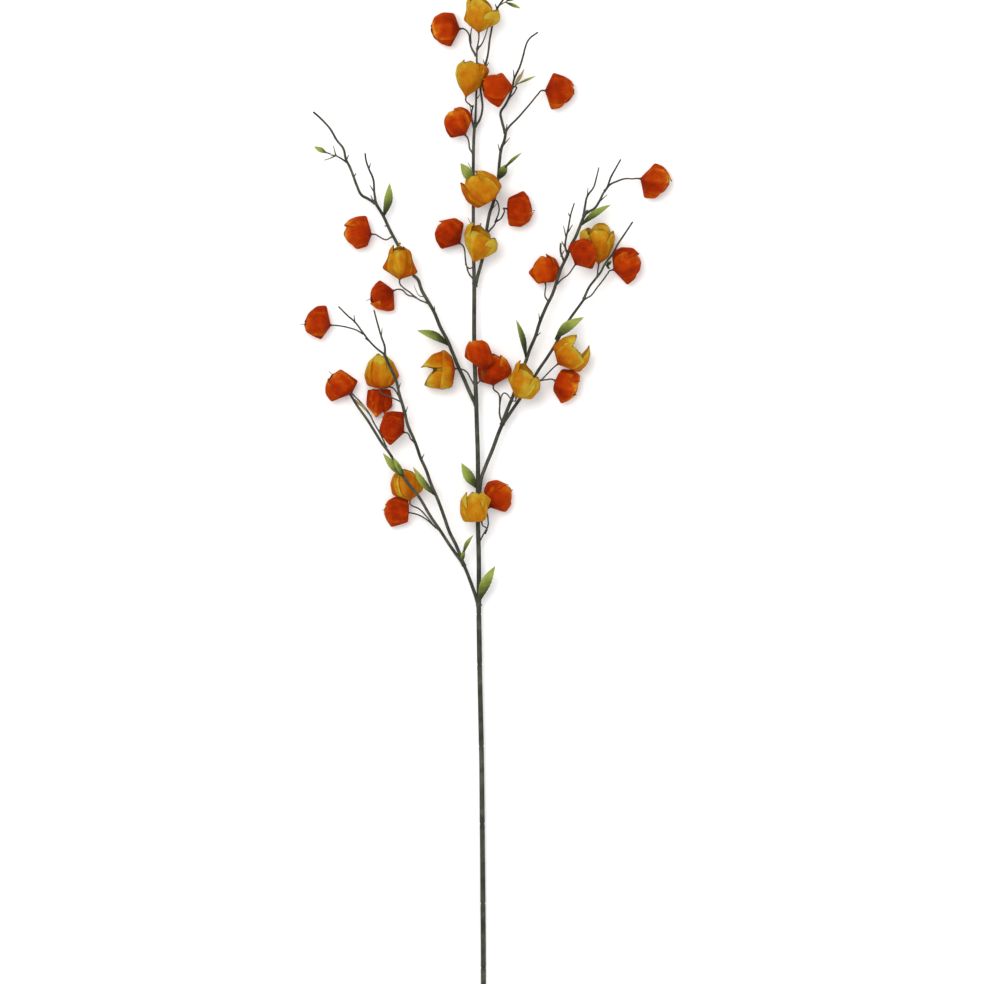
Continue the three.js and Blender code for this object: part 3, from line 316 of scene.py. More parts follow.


# One row for each husk, in mm and degrees. left and right are the ridges of those petals at the
# shoulder, the belly, the knee and the tip, as (along, out). front and back are the upper and the
# lower petal: depth, length as a share of the mean of left and right, and how far out the tip stays.
# turn swings those two round the husk, and pin is how far the pedicel's end goes in. blush is how
# light the left, upper, right and lower petal are, seen along the heading, and what their tips gain.
# A stripe is a band of painted light and shade along a fold of one petal: the petal's number in that order,
# its middle, its half width and what it gains, as painted light above 0 and painted shade below.
husks = [
    dict(cloth="red", root=(-30, 514, 17.5), heading=183,
         left=[(11, 20), (23, 15), (29, 6), (31, 1.5)], right=[(5, 18), (18, 20), (28, 15), (32, 4)],
         front=(18, 0.97, 4), back=(18, 1, 4), turn=(15, 0), blush=(0.3, 0.25, 0.35, 0.2, 0.8)),
    dict(cloth="yellow", root=(-9, 509, 35), heading=92, tilt=8,
         left=[(14, 17), (26, 13), (34, 13), (41, 10)], right=[(7, 18), (11, 24), (18, 25), (24, 23)],
         front=(19, 1.2, 4), back=(18, 1.3, 6), turn=(-18, 10), blush=(0.45, 0.6, 0.75, 0.5, 0.25)),
    dict(cloth="yellow", root=(-23, 439, 33), heading=83, tilt=10,
         left=[(13, 11), (23, 15), (33, 14), (40, 7)], right=[(13, 17), (32, 23), (37, 18), (39, 6)],
         front=(19, 1.02, 2), back=(18, 0.98, 2), turn=(12, 0), blush=(0.8, 0.5, 0.3, 0.4, 0.2)),
    dict(cloth="orange", root=(28, 449, 40), heading=180, tilt=14,
         left=[(15, 24), (26, 18), (32, 11), (35, 1.5)], right=[(12, 16), (22, 12), (29, 10), (35, 8)],
         front=(19, 1, 3), back=(19, 0.95, 4), turn=(25, 0), blush=(0.1, 0.25, 0.6, 0.3, 0)),
    dict(cloth="red", root=(-24, 397, 26.5), heading=128,
         left=[(7, 15), (18, 14), (25, 7), (30, 1.5)], right=[(9, 19), (20, 20), (28, 15), (31, 6)],
         front=(18, 0.98, 4), back=(18, 1, 6), blush=(0.2, 0.4, 0.25, 0.2, 0.4)),
    dict(cloth="red", root=(64, 446, 17.5), heading=-2,
         left=[(8, 21), (21, 17), (29, 12), (33, 4)], right=[(7, 21), (18, 19), (26, 10), (33, 1.5)],
         front=(18, 0.97, 4), back=(18, 0.97, 4), turn=(-15, 0), blush=(0.2, 0.25, 0.55, 0.2, 0.3)),
    dict(cloth="yellow", root=(8, 326, 34), heading=140, tilt=8,
         left=[(7, 20), (21, 22), (33, 17), (41, 10)], right=[(2, 17), (16, 21), (29, 17), (38, 9)],
         front=(19, 1, 6), back=(18, 0.9, 6), turn=(-20, 0), blush=(0.3, 0.45, 0.4, 0.4, 0.1)),
    dict(cloth="red", root=(22, 316, 20.5), heading=-4,
         left=[(0, 12), (17, 22), (24, 14), (26, 5)], right=[(3, 19), (17, 20), (26, 13), (30, 1.5)],
         front=(18, 0.98, 3), back=(18, 1, 6), turn=(10, 0), pin=31, blush=(0.25, 0.3, 0.4, 0.2, 0.2)),
    dict(cloth="red", root=(-30, 278, 20.5), heading=143,
         left=[(12, 18), (23, 14), (29, 8), (30, 1.5)], right=[(9, 21), (21, 20), (27, 13), (33, 6)],
         front=(18, 0.97, 4), back=(18, 1, 6), turn=(10, 0), blush=(0.15, 0.2, 0.35, 0.15, 0.3)),
    dict(cloth="yellow", root=(-14, 257, 36.4), heading=80,
         left=[(17, 14), (29, 17), (39, 15), (43, 8)], right=[(10, 16), (16, 23), (24, 23), (30, 19)],
         front=(19, 0.9, 4), back=(11, 1.2, -6), turn=(-12, 0), blush=(0.65, 0.7, 0.75, 0.6, 0.1)),
    dict(cloth="red", root=(-127, 288, 17.5), heading=178,
         left=[(4, 14), (16, 18), (25, 9), (30, 1.5)], right=[(6, 21), (16, 20), (25, 16), (32, 8)],
         front=(18, 0.98, 4), back=(18, 1, 4), turn=(-12, 0), blush=(0.65, 0.3, 0.35, 0.3, 0.5)),
    dict(cloth="yellow", root=(-96, 238, 31.5), heading=90, tilt=2,
         left=[(12, 20), (24, 13), (32, 12), (40, 6)], right=[(7, 21), (21, 15), (31, 13), (37, 3)],
         front=(19, 0.86, 4), back=(11, 1.04, -6), blush=(0.35, 0.4, 0.35, 0.7, 0.1),
         paintedCreaseStripes=[(1, 0, 0.3, 0.2)]),
    dict(cloth="red", root=(-103, 226, 14.5), heading=200,
         left=[(6, 21), (14, 20), (24, 14), (30, 3)], right=[(10, 17), (18, 14), (23, 8), (26, 1.5)],
         front=(15, 0.92, 2), back=(15, 1, 4), turn=(20, 0), pin=32, blush=(0.6, 0.2, 0.2, 0.2, 0.2)),
    dict(cloth="yellow", root=(-35, 140, 24.5), heading=181,
         left=[(4, 20), (16, 23), (28, 21), (36, 17)], right=[(4, 13), (12, 21), (25, 17), (38, 1.5)],
         front=(19, 0.58, 10), back=(19, 0.66, 9), blush=(0.15, 0.2, 0.15, 0.2, 1.4), spread=1),
    dict(cloth="red", root=(-172, 188, 16.5), heading=178,
         left=[(10, 17), (19, 13), (27, 8), (29, 1.5)], right=[(5, 22), (16, 21), (25, 13), (29, 3)],
         front=(17, 0.98, 4), back=(17, 1, 4), pin=34, blush=(0.2, 0.35, 0.3, 0.2, 0.1)),
    dict(cloth="red", root=(-149, 113, 16.5), heading=136,
         left=[(9, 23), (20, 21), (27, 14), (31, 5)], right=[(4, 15), (18, 13), (28, 11), (28, 3)],
         front=(17, 0.95, 4), back=(17, 1, 4), turn=(-10, 0), pin=35, blush=(0.55, 0.35, 0.25, 0.2, 0.3)),
    dict(cloth="yellow", root=(-117, 118, 22.5), heading=95, tilt=-3,
         left=[(4, 15), (16, 17), (31, 11), (37, 3)], right=[(2, 13), (12, 23), (28, 17), (38, 7)],
         front=(16, 1.02, 4), back=(14, 0.98, 4), blush=(0.4, 0.35, 0.3, 0.35, 1.1),
         paintedCreaseStripes=[(1, -0.62, 0.07, -0.6)]),
    dict(cloth="red", root=(-118, 114, 11.5), heading=262,
         left=[(-6, 11), (5, 15), (14, 16), (23, 8)], right=[(-2, 14), (9, 14), (17, 13), (24, 3)],
         front=(9, 1.2, 3), back=(12, 1.15, 4), blush=(0.2, 0.2, 0.2, 0.2, 0.5)),
    dict(cloth="red", root=(-91, 70, 31), heading=165,
         left=[(11, 19), (18, 15), (27, 4), (27, 1.5)], right=[(6, 22), (18, 20), (26, 16), (28, 8)],
         front=(14, 0.98, 3), back=(18, 1, 4), blush=(0.2, 0.2, 0.2, 0.15, 0.15)),
    dict(cloth="yellow", root=(-85, -5, 20), heading=100,
         left=[(9, 18), (22, 19), (32, 13), (36, 5)], right=[(9, 17), (20, 17), (29, 11), (34, 2)],
         front=(17, 0.98, 4), back=(17, 1, 4), turn=(-10, 0), blush=(0.45, 0.45, 0.45, 0.45, 0.2),
         paintedCreaseStripes=[(1, -0.56, 0.1, 0.5), (1, -0.41, 0.05, -0.7)]),
    dict(cloth="red", root=(-89, -18, 14.5), heading=174,
         left=[(-4, 10), (15, 19), (22, 10), (25, 1.5)], right=[(-2, 14), (12, 17), (21, 12), (24, 6)],
         front=(15, 0.98, 4), back=(15, 1, 4), pin=27, blush=(0.2, 0.25, 0.25, 0.2, 0.2)),
    dict(cloth="yellow", root=(-6, -28, 39), heading=104, tilt=1,
         left=[(4, 19), (15, 21), (29, 17), (37, 7)], right=[(1, 3), (11, 9), (21, 17), (32, 8)],
         front=(19, 1.02, 2), back=(15, 0.98, 2), turn=(-20, 0), blush=(0.6, 0.6, 0.6, 0.5, 0.2)),
    dict(cloth="red", root=(3, -12, 14.5), heading=45,
         left=[(7, 18), (18, 22), (27, 16), (32, 2)], right=[(8, 17), (19, 16), (24, 9), (32, 4)],
         front=(15, 0.97, 3), back=(15, 1, 4), blush=(0.2, 0.3, 0.5, 0.2, 0.5)),
    dict(cloth="red", root=(-4, 138, 36.5), heading=108, tilt=4,
         left=[(20, 16), (30, 11), (36, 5), (35, 1.5)], right=[(3, 15), (17, 15), (27, 14), (34, 7)],
         front=(19, 1, 2), back=(14, 0.98, 2), blush=(0.3, 0.3, 0.3, 0.3, 0.5)),
    dict(cloth="red", root=(7, 122, 16.5), heading=90,
         left=[(4, 16), (17, 18), (28, 14), (34, 7)], right=[(10, 19), (17, 21), (29, 15), (35, 7)],
         front=(17, 0.96, 2), back=(17, 1, 2), turn=(-10, 0), blush=(0.2, 0.25, 0.35, 0.2, 0.5)),
    dict(cloth="yellow", root=(32, 108, 37.5), heading=75, tilt=2,
         left=[(19, 15), (28, 10), (36, 11), (43, 5)], right=[(2, 17), (15, 24), (23, 22), (28, 18)],
         front=(19, 0.9, 4), back=(11, 1.2, -6), turn=(10, 0), blush=(0.7, 0.7, 0.7, 0.7, 0)),
    dict(cloth="yellow", root=(78, 145, 28.5), heading=37, tilt=2,
         left=[(7, 19), (22, 20), (31, 17), (38, 12)], right=[(13, 22), (26, 20), (35, 14), (41, 3)],
         front=(19, 0.66, 10), back=(18, 0.66, 10), turn=(15, 0), blush=(0.4, 0.35, 0.4, 0.4, 1.1)),
    dict(cloth="red", root=(75, 127, 16.5), heading=-23,
         left=[(1, 15), (14, 19), (24, 16), (26, 9)], right=[(2, 11), (16, 22), (23, 14), (28, 4)],
         front=(17, 0.97, 4), back=(17, 1, 4), turn=(20, 0), blush=(0.25, 0.2, 0.5, 0.2, 0.8)),
    dict(cloth="orange", root=(64, 235, 15.5), heading=100,
         left=[(0, 9), (14, 17), (24, 5), (28, 1.5)], right=[(0, 14), (10, 20), (24, 17), (32, 6)],
         front=(16, 0.98, 3), back=(16, 0.95, 4), turn=(25, 0), blush=(0.25, 0.25, 0.15, 0.25, 0.4)),
    dict(cloth="red", root=(97, 254, 41), heading=55, tilt=4,
         left=[(11, 18), (20, 16), (29, 10), (34, 2)], right=[(6, 19), (16, 17), (23, 11), (29, 3)],
         front=(19, 1, 2), back=(18, 0.98, 2), turn=(10, 0), blush=(0.25, 0.25, 0.25, 0.25, 0.2)),
    dict(cloth="yellow", root=(123, 256, 13.5), heading=85, tilt=13,
         left=[(13, 21), (24, 24), (34, 24), (39, 15)], right=[(7, 10), (21, 15), (31, 16), (39, 13)],
         front=(14, 1.1, 10), back=(14, 1.1, 14), blush=(0.7, 0.45, 0.7, 0.8, 0.3)),
    dict(cloth="red", root=(139, 249, 17.5), heading=16,
         left=[(4, 19), (15, 22), (28, 18), (33, 9)], right=[(10, 21), (21, 16), (27, 6), (31, 1.5)],
         front=(18, 0.98, 3), back=(18, 1, 6), turn=(15, 0), blush=(0.35, 0.35, 0.2, 0.3, 0.1)),
    dict(cloth="red", root=(169, 349, 17.5), heading=-7,
         left=[(13, 20), (23, 17), (30, 10), (35, 1.5)], right=[(6, 21), (19, 20), (26, 11), (31, 4)],
         front=(18, 0.95, 4), back=(18, 1, 4), turn=(10, 0), blush=(0.35, 0.3, 0.35, 0.3, 0.5)),
]
petal = dict(
    across=20, along=28, wall=0.5, hole=1.2,  # its faces, the cloth and the hole that the pedicel fills
    spread=0.66, rootNarrow=0.2, rootRun=0.3, skew=0.1, grow=(-0.05, 0.02),  # 0.5 just meets the next one
    belly=0.97, knee=0.7,  # of the depth of the upper and the lower petal
    beside=[1, 1, 0.55, 0.25],  # how much each place on a ridge gives way to the next petal's
    sink=(0.2, 0.09), sinkSoft=0.12, sinkTop=0.887,  # of the shoulder and the belly between two ridges
    corner=0.05, cornerSamples=7, probe=0.01,  # as shares of the way from root to tip
    layer=0.55, loose=0.25, curl=0.5, curlPower=6, serration=0.012, sharp=50,  # its free edge
    creases=3, creasesAcross=(1.5, 4), creasesAlong=(3, 9), creaseShift=6.28, creaseScale=0.64, wobble=0.6,
    middle=0.35, rootDark=0.2, paintedFoldShade=0.16, paintedFoldShadeRun=0.1, rim=0.3, rimFrom=0.65, rimRun=0.3,  # of the blush: middle and rim go with the dye, rootDark darkens towards the root, and the fold term is painted shade and light on the two sides of each petal's ridge
)
petalWidths = [(0.0, 1.0), (0.55, 1.0), (0.74, 0.98), (0.84, 0.88), (0.92, 0.7), (0.97, 0.48), (1.0, 0.22)]
pattern = dict(wall=0.01, apart=3, near=1e-4)  # the flat shapes that petals and blades are bent from


# a flat sheet, 2 wide and 1 long, with each row drawn in or out to its own width
def drawSheet(name, shape, widthAt):
    bpy.ops.mesh.primitive_grid_add(x_subdivisions=shape["across"], y_subdivisions=shape["along"],
                                    size=2, location=(0, 0, 0))
    sheet = bpy.context.object
    sheet.name = name
    bpy.ops.object.mode_set(mode="EDIT")
    bpy.ops.mesh.select_all(action="SELECT")
    bpy.ops.transform.resize(value=(1, 0.5, 1), center_override=(0, 0, 0))
    bpy.ops.transform.translate(value=(0, 0.5, 0))
    for row in range(shape["along"] + 1):
        y = row / shape["along"]
        selectPoints(sheet, lambda p: abs(p.y - y) < pattern["near"])
        bpy.ops.transform.resize(value=(widthAt(row, y), 1, 1), center_override=(0, y, 0))
    return sheet


def thickenSheet(sheet):
    bpy.ops.object.mode_set(mode="OBJECT")
    wall = sheet.modifiers.new("wall", "SOLIDIFY")
    wall.thickness = pattern["wall"]
    wall.offset = -1
    selectOnly(sheet)
    bpy.ops.object.modifier_apply(modifier=wall.name)


def makePetals():
    nick = petal["serration"]
    sheet = drawSheet("petalPattern", petal,
                      lambda row, y: np.interp(y, *zip(*petalWidths)) - (nick if row % 2 else 0))
    near = pattern["near"]
    for column in range(1, petal["across"], 2):
        x = (2 * column / petal["across"] - 1) * petalWidths[-1][1]
        selectPoints(sheet, lambda p: p.y > 1 - near and abs(abs(p.x) - abs(x)) < near)
        bpy.ops.transform.translate(value=(0, -nick, 0))
    thickenSheet(sheet)
    bpy.ops.object.mode_set(mode="EDIT")
    for copy in range(3):  # the four petals, side by side
        selectPoints(sheet, lambda p: p.x > pattern["apart"] * (copy - 0.5))
        bpy.ops.mesh.duplicate_move(TRANSFORM_OT_translate={"value": (pattern["apart"], 0, 0)})
    bpy.ops.object.mode_set(mode="OBJECT")
    return sheet


def aheadOf(husk):
    heading, tilt = math.radians(husk["heading"]), math.radians(husk.get("tilt", 0))
    return math.cos(tilt) * math.cos(heading), math.cos(tilt) * math.sin(heading), math.sin(tilt)


# The ridges of the four petals, and the angles of the petals before, in and after one turn.
def ridgesOf(husk):
    left, right = np.array(husk["left"], float), np.array(husk["right"], float)
    mean = (left[:, 0] + right[:, 0]) / 2
    upright = []
    for depth, share, tip in (husk["front"], husk["back"]):
        along = mean * (1, 1, share, share)
        out = depth, depth * petal["belly"], depth * petal["knee"], tip
        upright.append(np.stack([along, out], axis=1))
    frontTurn, backTurn = husk.get("turn", (0, 0))
    angles = np.radians([backTurn - 90, 0, 90 + frontTurn, 180, 270 + backTurn, 360])
    return np.array([left, upright[0], right, upright[1]]), angles


# turn counts petals round the husk from its left, walk goes from its root to the petal's tip
def huskSurface(husk, which, turn, walk):
    ridges, angles = ridgesOf(husk)
    off = turn - which
    beside = (which + np.where(off < 0, -1, 1)) % 4
    share = np.abs(off)
    soft = petal["sinkSoft"]
    crest = (np.sqrt(np.sin(np.pi * share) ** 2 + soft ** 2) - soft) / petal["sinkTop"]
    weight = share[:, None, None] * np.array(petal["beside"])[None, :, None]
    corners = ridges[which] + (ridges[beside] - ridges[which]) * weight  # point, place, along and out
    for place, sink in enumerate(petal["sink"]):
        corners[:, place, 1] *= 1 - sink * crest
    corners = np.insert(corners, 0, (0, petal["hole"]), axis=1).transpose(1, 2, 0)
    lengths = np.hypot(*np.moveaxis(np.diff(corners, axis=0), 1, 0))
    reached = np.vstack([np.zeros_like(share), np.cumsum(lengths, axis=0)])
    whole = reached[-1]
    at = np.clip(walk, 0, 1) * whole
    window = np.minimum(petal["corner"] * whole, np.minimum(at, whole - at))
    total = np.zeros((2, len(at)))
    pick = np.arange(len(at))
    samples = np.linspace(-1, 1, petal["cornerSamples"])
    for sample in samples:  # a corner is rounded by the mean of what is just before and after it
        place = at + sample * window
        leg = np.clip((place[None] >= reached[1:]).sum(axis=0), 0, len(lengths) - 1)
        part = (place - reached[leg, pick]) / np.maximum(lengths[leg, pick], 1e-9)
        total += corners[leg, :, pick].T + part * (corners[leg + 1, :, pick] - corners[leg, :, pick]).T
    along, out = total / len(samples)
    angle = np.interp(turn, range(-1, 5), angles)
    return np.stack([along, out * np.cos(angle), out * np.sin(angle)], axis=1)


def fitHusk(piece, husk, seed):
    rng = random.Random(seed)

    def eachPetal(low, high):  # one draw for each of the four, given to all of its points
        return np.array([rng.uniform(low, high) for _ in range(4)])[which]

    flat = readPoints(piece)
    which = np.round(flat[:, 0] / pattern["apart"]).astype(int)
    x = flat[:, 0] - which * pattern["apart"]
    y = np.clip(flat[:, 1], 0, 1)
    depth = -flat[:, 2] / pattern["wall"]
    skew = eachPetal(-petal["skew"], petal["skew"])
    grow = eachPetal(*petal["grow"])
    narrow = 1 - petal["rootNarrow"] + petal["rootNarrow"] * np.clip(y / petal["rootRun"], 0, 1)
    turn = which + x * (husk.get("spread", petal["spread"]) * narrow) + skew * y ** 2
    walk = y * (1 + grow * y)
    step = petal["probe"]
    surface = huskSurface(husk, which, turn, walk)
    sideways = huskSurface(husk, which, turn + step, walk) - huskSurface(husk, which, turn - step, walk)
    onwards = (huskSurface(husk, which, turn, np.minimum(walk + step, 1))
               - huskSurface(husk, which, turn, np.maximum(walk - step, 0)))
    outwards = np.cross(sideways, onwards)
    outwards /= np.maximum(np.linalg.norm(outwards, axis=1, keepdims=True), 1e-9)

    outer = np.where(which % 2 == 1, 1.0, -1.0)  # the upper and the lower petal lie over the other two
    free = np.clip(y / petal["loose"], 0, 1)
    lift = petal["layer"] * 0.5 * outer * free
    lift += petal["curl"] * np.abs(x) ** petal["curlPower"] * free * (outer > 0)
    waves = np.zeros_like(x)
    for _ in range(petal["creases"]):
        across, along = rng.uniform(*petal["creasesAcross"]), rng.uniform(*petal["creasesAlong"])
        shift = eachPetal(0, petal["creaseShift"])
        waves += np.arcsin(np.sin(across * x + along * y + shift)) * petal["creaseScale"]
    lift += petal["wobble"] * waves / petal["creases"] * free

    local = surface + outwards * (lift - depth * petal["wall"])[:, None]
    heading, ahead = math.radians(husk["heading"]), np.array(aheadOf(husk))
    left = np.array([-math.sin(heading), math.cos(heading), 0])
    up = np.cross(ahead, left)
    points = np.array(husk["root"], float) + local @ np.array([ahead, left, up])
    writePoints(piece, points * mm)

    *petalBlush, tipBlush = husk["blush"]
    blush = np.array(petalBlush)[which] + tipBlush * (y - petal["middle"]) - petal["rootDark"] * (1 - free)
    blush += petal["rim"] * np.clip((np.maximum(np.abs(x), y) - petal["rimFrom"]) / petal["rimRun"], 0, 1)
    # painted shade and light: one half of each petal darker and the other lighter, as light falls on the
    # two sides of its ridge fold
    blush += petal["paintedFoldShade"] * eachPetal(-1, 1) * np.clip(x / petal["paintedFoldShadeRun"], -1, 1)
    # painted light and shade along folds, one band at a time
    for side, middle, width, gain in husk.get("paintedCreaseStripes", []):
        blush[(which == side) & (np.abs(x - middle) < width)] += gain
    giveShade(piece, np.clip(blush, 0, 1))


petalPattern = makePetals()
for number, husk in enumerate(husks, 1):
    piece = ownCopy(petalPattern, f"husk_{number:02d}_petals")
    fitHusk(piece, husk, number)
    smoothPiece(piece, petal["sharp"])
    finishPiece(piece, cloths[husk["cloth"]], f"husk_{number:02d}")
bpy.data.objects.remove(petalPattern)
print("husks done")


wire = dict(
    pedicel=(0.85, 0.8), spike=(0.7, 0.4), roundness=3, smoothness=5, sharp=60,
    collar=1.45, collarRun=3, collarRoom=3.9, neck=1.05,  # where a shoot leaves its stem
    straightRun=4, beadBefore=1.2, beadRise=1.15, bead=1.8,  # before and at the husk's root
    insideStart=2, insideRun=12, pinTip=0.3,
    nodes=[-130, -185, -275, -361, -449, -520],  # of the main stem, where leaves have dropped
    nodeShape=[(1.6, 1.05), (0, 0.86), (-1.6, 1.03)],  # distance towards the tip, radius
)


# its route is in mm, root first, its radius at the two ends, and carries is the number of its husk
def shoot(*route, radius=None, carries=0):
    usual = wire["pedicel"] if carries else wire["spike"]
    return dict(route=route, radius=radius or usual, carries=carries)


